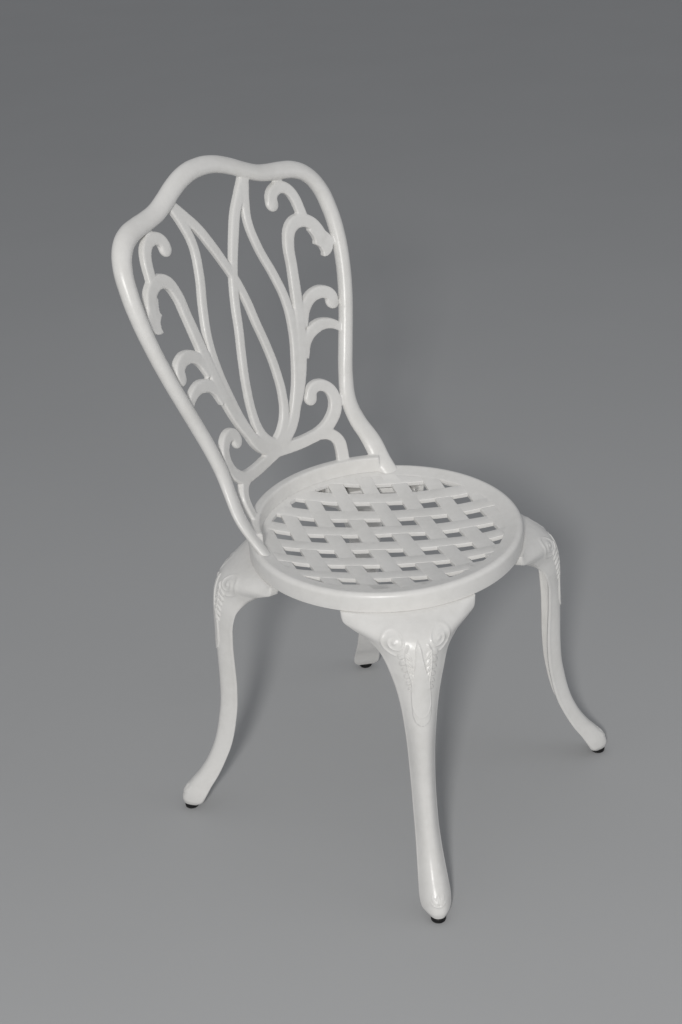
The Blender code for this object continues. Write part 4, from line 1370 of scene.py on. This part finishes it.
def glide_profile():
    profile = [(0.0, 0.0), (GLIDE_RADIUS - 0.0026, 0.0)]
    profile += arc((GLIDE_RADIUS - 0.0018, 0.0018), 0.0018, -90, 0, 6)
    groove = GLIDE_HEIGHT - 0.0030
    profile += [(GLIDE_RADIUS, groove - 0.0004), (GLIDE_RADIUS - 0.0004, groove)]
    profile.append((GLIDE_RADIUS, groove + 0.0004))
    profile += arc((GLIDE_RADIUS - 0.0007, GLIDE_HEIGHT - 0.0007), 0.0007, 0, 90, 3)
    profile += [(0.0046, GLIDE_HEIGHT), (STEM_RADIUS, GLIDE_HEIGHT + 0.0006)]
    for i in range(5):
        level = GLIDE_HEIGHT + 0.0020 + 0.0018 * i
        profile += [(STEM_RADIUS, level), (STEM_RADIUS - STEM_GROOVE, level + 0.0005)]
        profile.append((STEM_RADIUS, level + 0.0010))
    stem_top = GLIDE_HEIGHT + SOCKET_DEPTH
    return [*profile, (STEM_RADIUS - STEM_GROOVE, stem_top), (0.0, stem_top)]


for leg_name, leg_angle in LEG_ANGLES.items():
    place = about(SEAT_MIDDLE, GLIDE_REACH, leg_angle)
    glide = turned(f"glide_plug_{leg_name}", glide_profile(), 64, place)
    finished(glide, black_plastic, [f"glide_{leg_name}"], 40.0)

# %% [markdown]
# ## Bolts and washers
#
# Twelve hexagon bolts hold the castings together, each on a spring washer and a flat one. One bolt is
# made with care and the rest are instances: a tree puts it at every point of a list, turned by a
# seeded random angle, because nobody tightens twelve bolts to the same angle.

# %% One bolt, one flat washer, one spring washer
BOLT_RADIUS = 0.0030
THREAD_FROM = 0.35
THREAD_PITCH = 0.0010
THREAD_DEPTH = 0.0004
HEAD_RADIUS = 0.0057
HEAD_HEIGHT = 0.0040
WASHER_OUTER = 0.0060
WASHER_THICKNESS = 0.0016
SPRING_OUTER = 0.0053
SPRING_THICKNESS = 0.0016


def hexagon_head():
    """A hexagon whose corners are turned off at its end face."""
    outline = [about((0.0, 0.0), HEAD_RADIUS, math.pi / 3 * i) for i in range(6)]
    head = prism("bolt_head", outline, -HEAD_HEIGHT, 0.0)
    wide = HEAD_RADIUS + 0.0006
    lathe = [(0.0, -HEAD_HEIGHT), (HEAD_RADIUS * 0.83, -HEAD_HEIGHT), (wide, -HEAD_HEIGHT + 0.0010)]
    lathe += [(wide, -0.0002), (HEAD_RADIUS - 0.0003, 0.0), (0.0, 0.0)]
    return welded(boolean(head, [turned("lathe", lathe, 48)], "INTERSECT"))


def make_bolt(name, reach):
    level = reach * THREAD_FROM
    profile = [(0.0, -0.001), (BOLT_RADIUS, -0.001), (BOLT_RADIUS, level)]
    while level < reach - 0.0018:
        root = (BOLT_RADIUS - THREAD_DEPTH, level + THREAD_PITCH / 2)
        level += THREAD_PITCH
        profile += [root, (BOLT_RADIUS, level)]
    profile += [(BOLT_RADIUS - 0.0006, reach), (0.0, reach)]
    bolt = welded(boolean(hexagon_head(), [turned("shaft", profile, 16)], "UNION"))
    bolt.name = name
    return bolt


def make_washer(name, outer, thickness, slit=0.0):
    outline = rounded_oblong(BOLT_HOLE, outer, 0.0, thickness, 0.0003, 2)
    if slit:
        return ring_sector(name, outline, math.pi, math.pi - slit / 2 / outer, 40)
    return turned(name, outline, 40)


stack = WASHER_THICKNESS + SPRING_THICKNESS + 3 * GAP
patterns = {
    "leg_bolt": make_bolt("leg_bolt", PAD_THICKNESS + GAP + 0.0125 + stack),
    "back_bolt": make_bolt("back_bolt", BACK_BOSS_DROP - 0.0012 + stack),
    "washer": make_washer("washer", WASHER_OUTER, WASHER_THICKNESS),
    "spring_washer": make_washer("spring_washer", SPRING_OUTER, SPRING_THICKNESS, 0.0010),
}
print({name: triangles(pattern) for name, pattern in patterns.items()})

# %% Tree that puts a pattern at each point
def make_points_tree():
    labels = {"object": ["Pattern"], "number": ["Turn"], "count": ["Seed"], "finish": ["Finish"]}
    graph, given = new_tree("at_each_point", **labels)
    places = graph.add("GeometryNodeMeshToPoints", None, {"Mesh": given["Geometry"]})
    pattern = graph.add("GeometryNodeObjectInfo", None, {"Object": given["Pattern"]}, "Geometry")
    inputs = {"Min": 0.0, "Max": 1.0, "Seed": given["Seed"]}
    angle = graph.add("FunctionNodeRandomValue", {"data_type": "FLOAT"}, inputs)
    turn = vector(graph, z=angle * given["Turn"])
    inputs = {"Points": places, "Instance": pattern, "Rotation": turn}
    copies = graph.add("GeometryNodeInstanceOnPoints", None, inputs)
    return end_tree(graph, copies, given["Finish"])


points_tree = make_points_tree()
print(points_tree.name, len(points_tree.nodes), "nodes")

# %% Set the fasteners in place
LEG_NODES = [f"leg_{leg}_{end}" for leg in LEG_ANGLES for end in "ab"]
BACK_NODES = [f"back_{number}" for number in range(1, 5)]


def at_places(name, pattern, places, level, seed):
    carrier = mesh_piece(name, [(x, y, level) for x, y in places], [])
    settings = {"Pattern": pattern, "Turn": 2 * math.pi, "Seed": seed, "Finish": zinc_steel}
    return run_tree(name, points_tree, settings, carrier)


for group, nodes, places, level in (
    ("leg", LEG_NODES, LEG_BOLT_PLACES, LEG_TOP - PAD_THICKNESS),
    ("back", BACK_NODES, BACK_BOLT_PLACES, SEAT_TOP - BACK_BOSS_DROP),
):
    washer_level = level - GAP - WASHER_THICKNESS
    spring_level = washer_level - GAP - SPRING_THICKNESS
    for kind, pattern, height in (
        ("bolt", patterns[f"{group}_bolt"], level - stack),
        ("washer", patterns["washer"], washer_level),
        ("spring_washer", patterns["spring_washer"], spring_level),
    ):
        pieces = at_places(f"{group}_{kind}s", pattern, places, height, 7 + len(kind))
        finished(pieces, zinc_steel, [f"{kind}_{node}" for node in nodes], 30.0)
drop(*patterns.values())
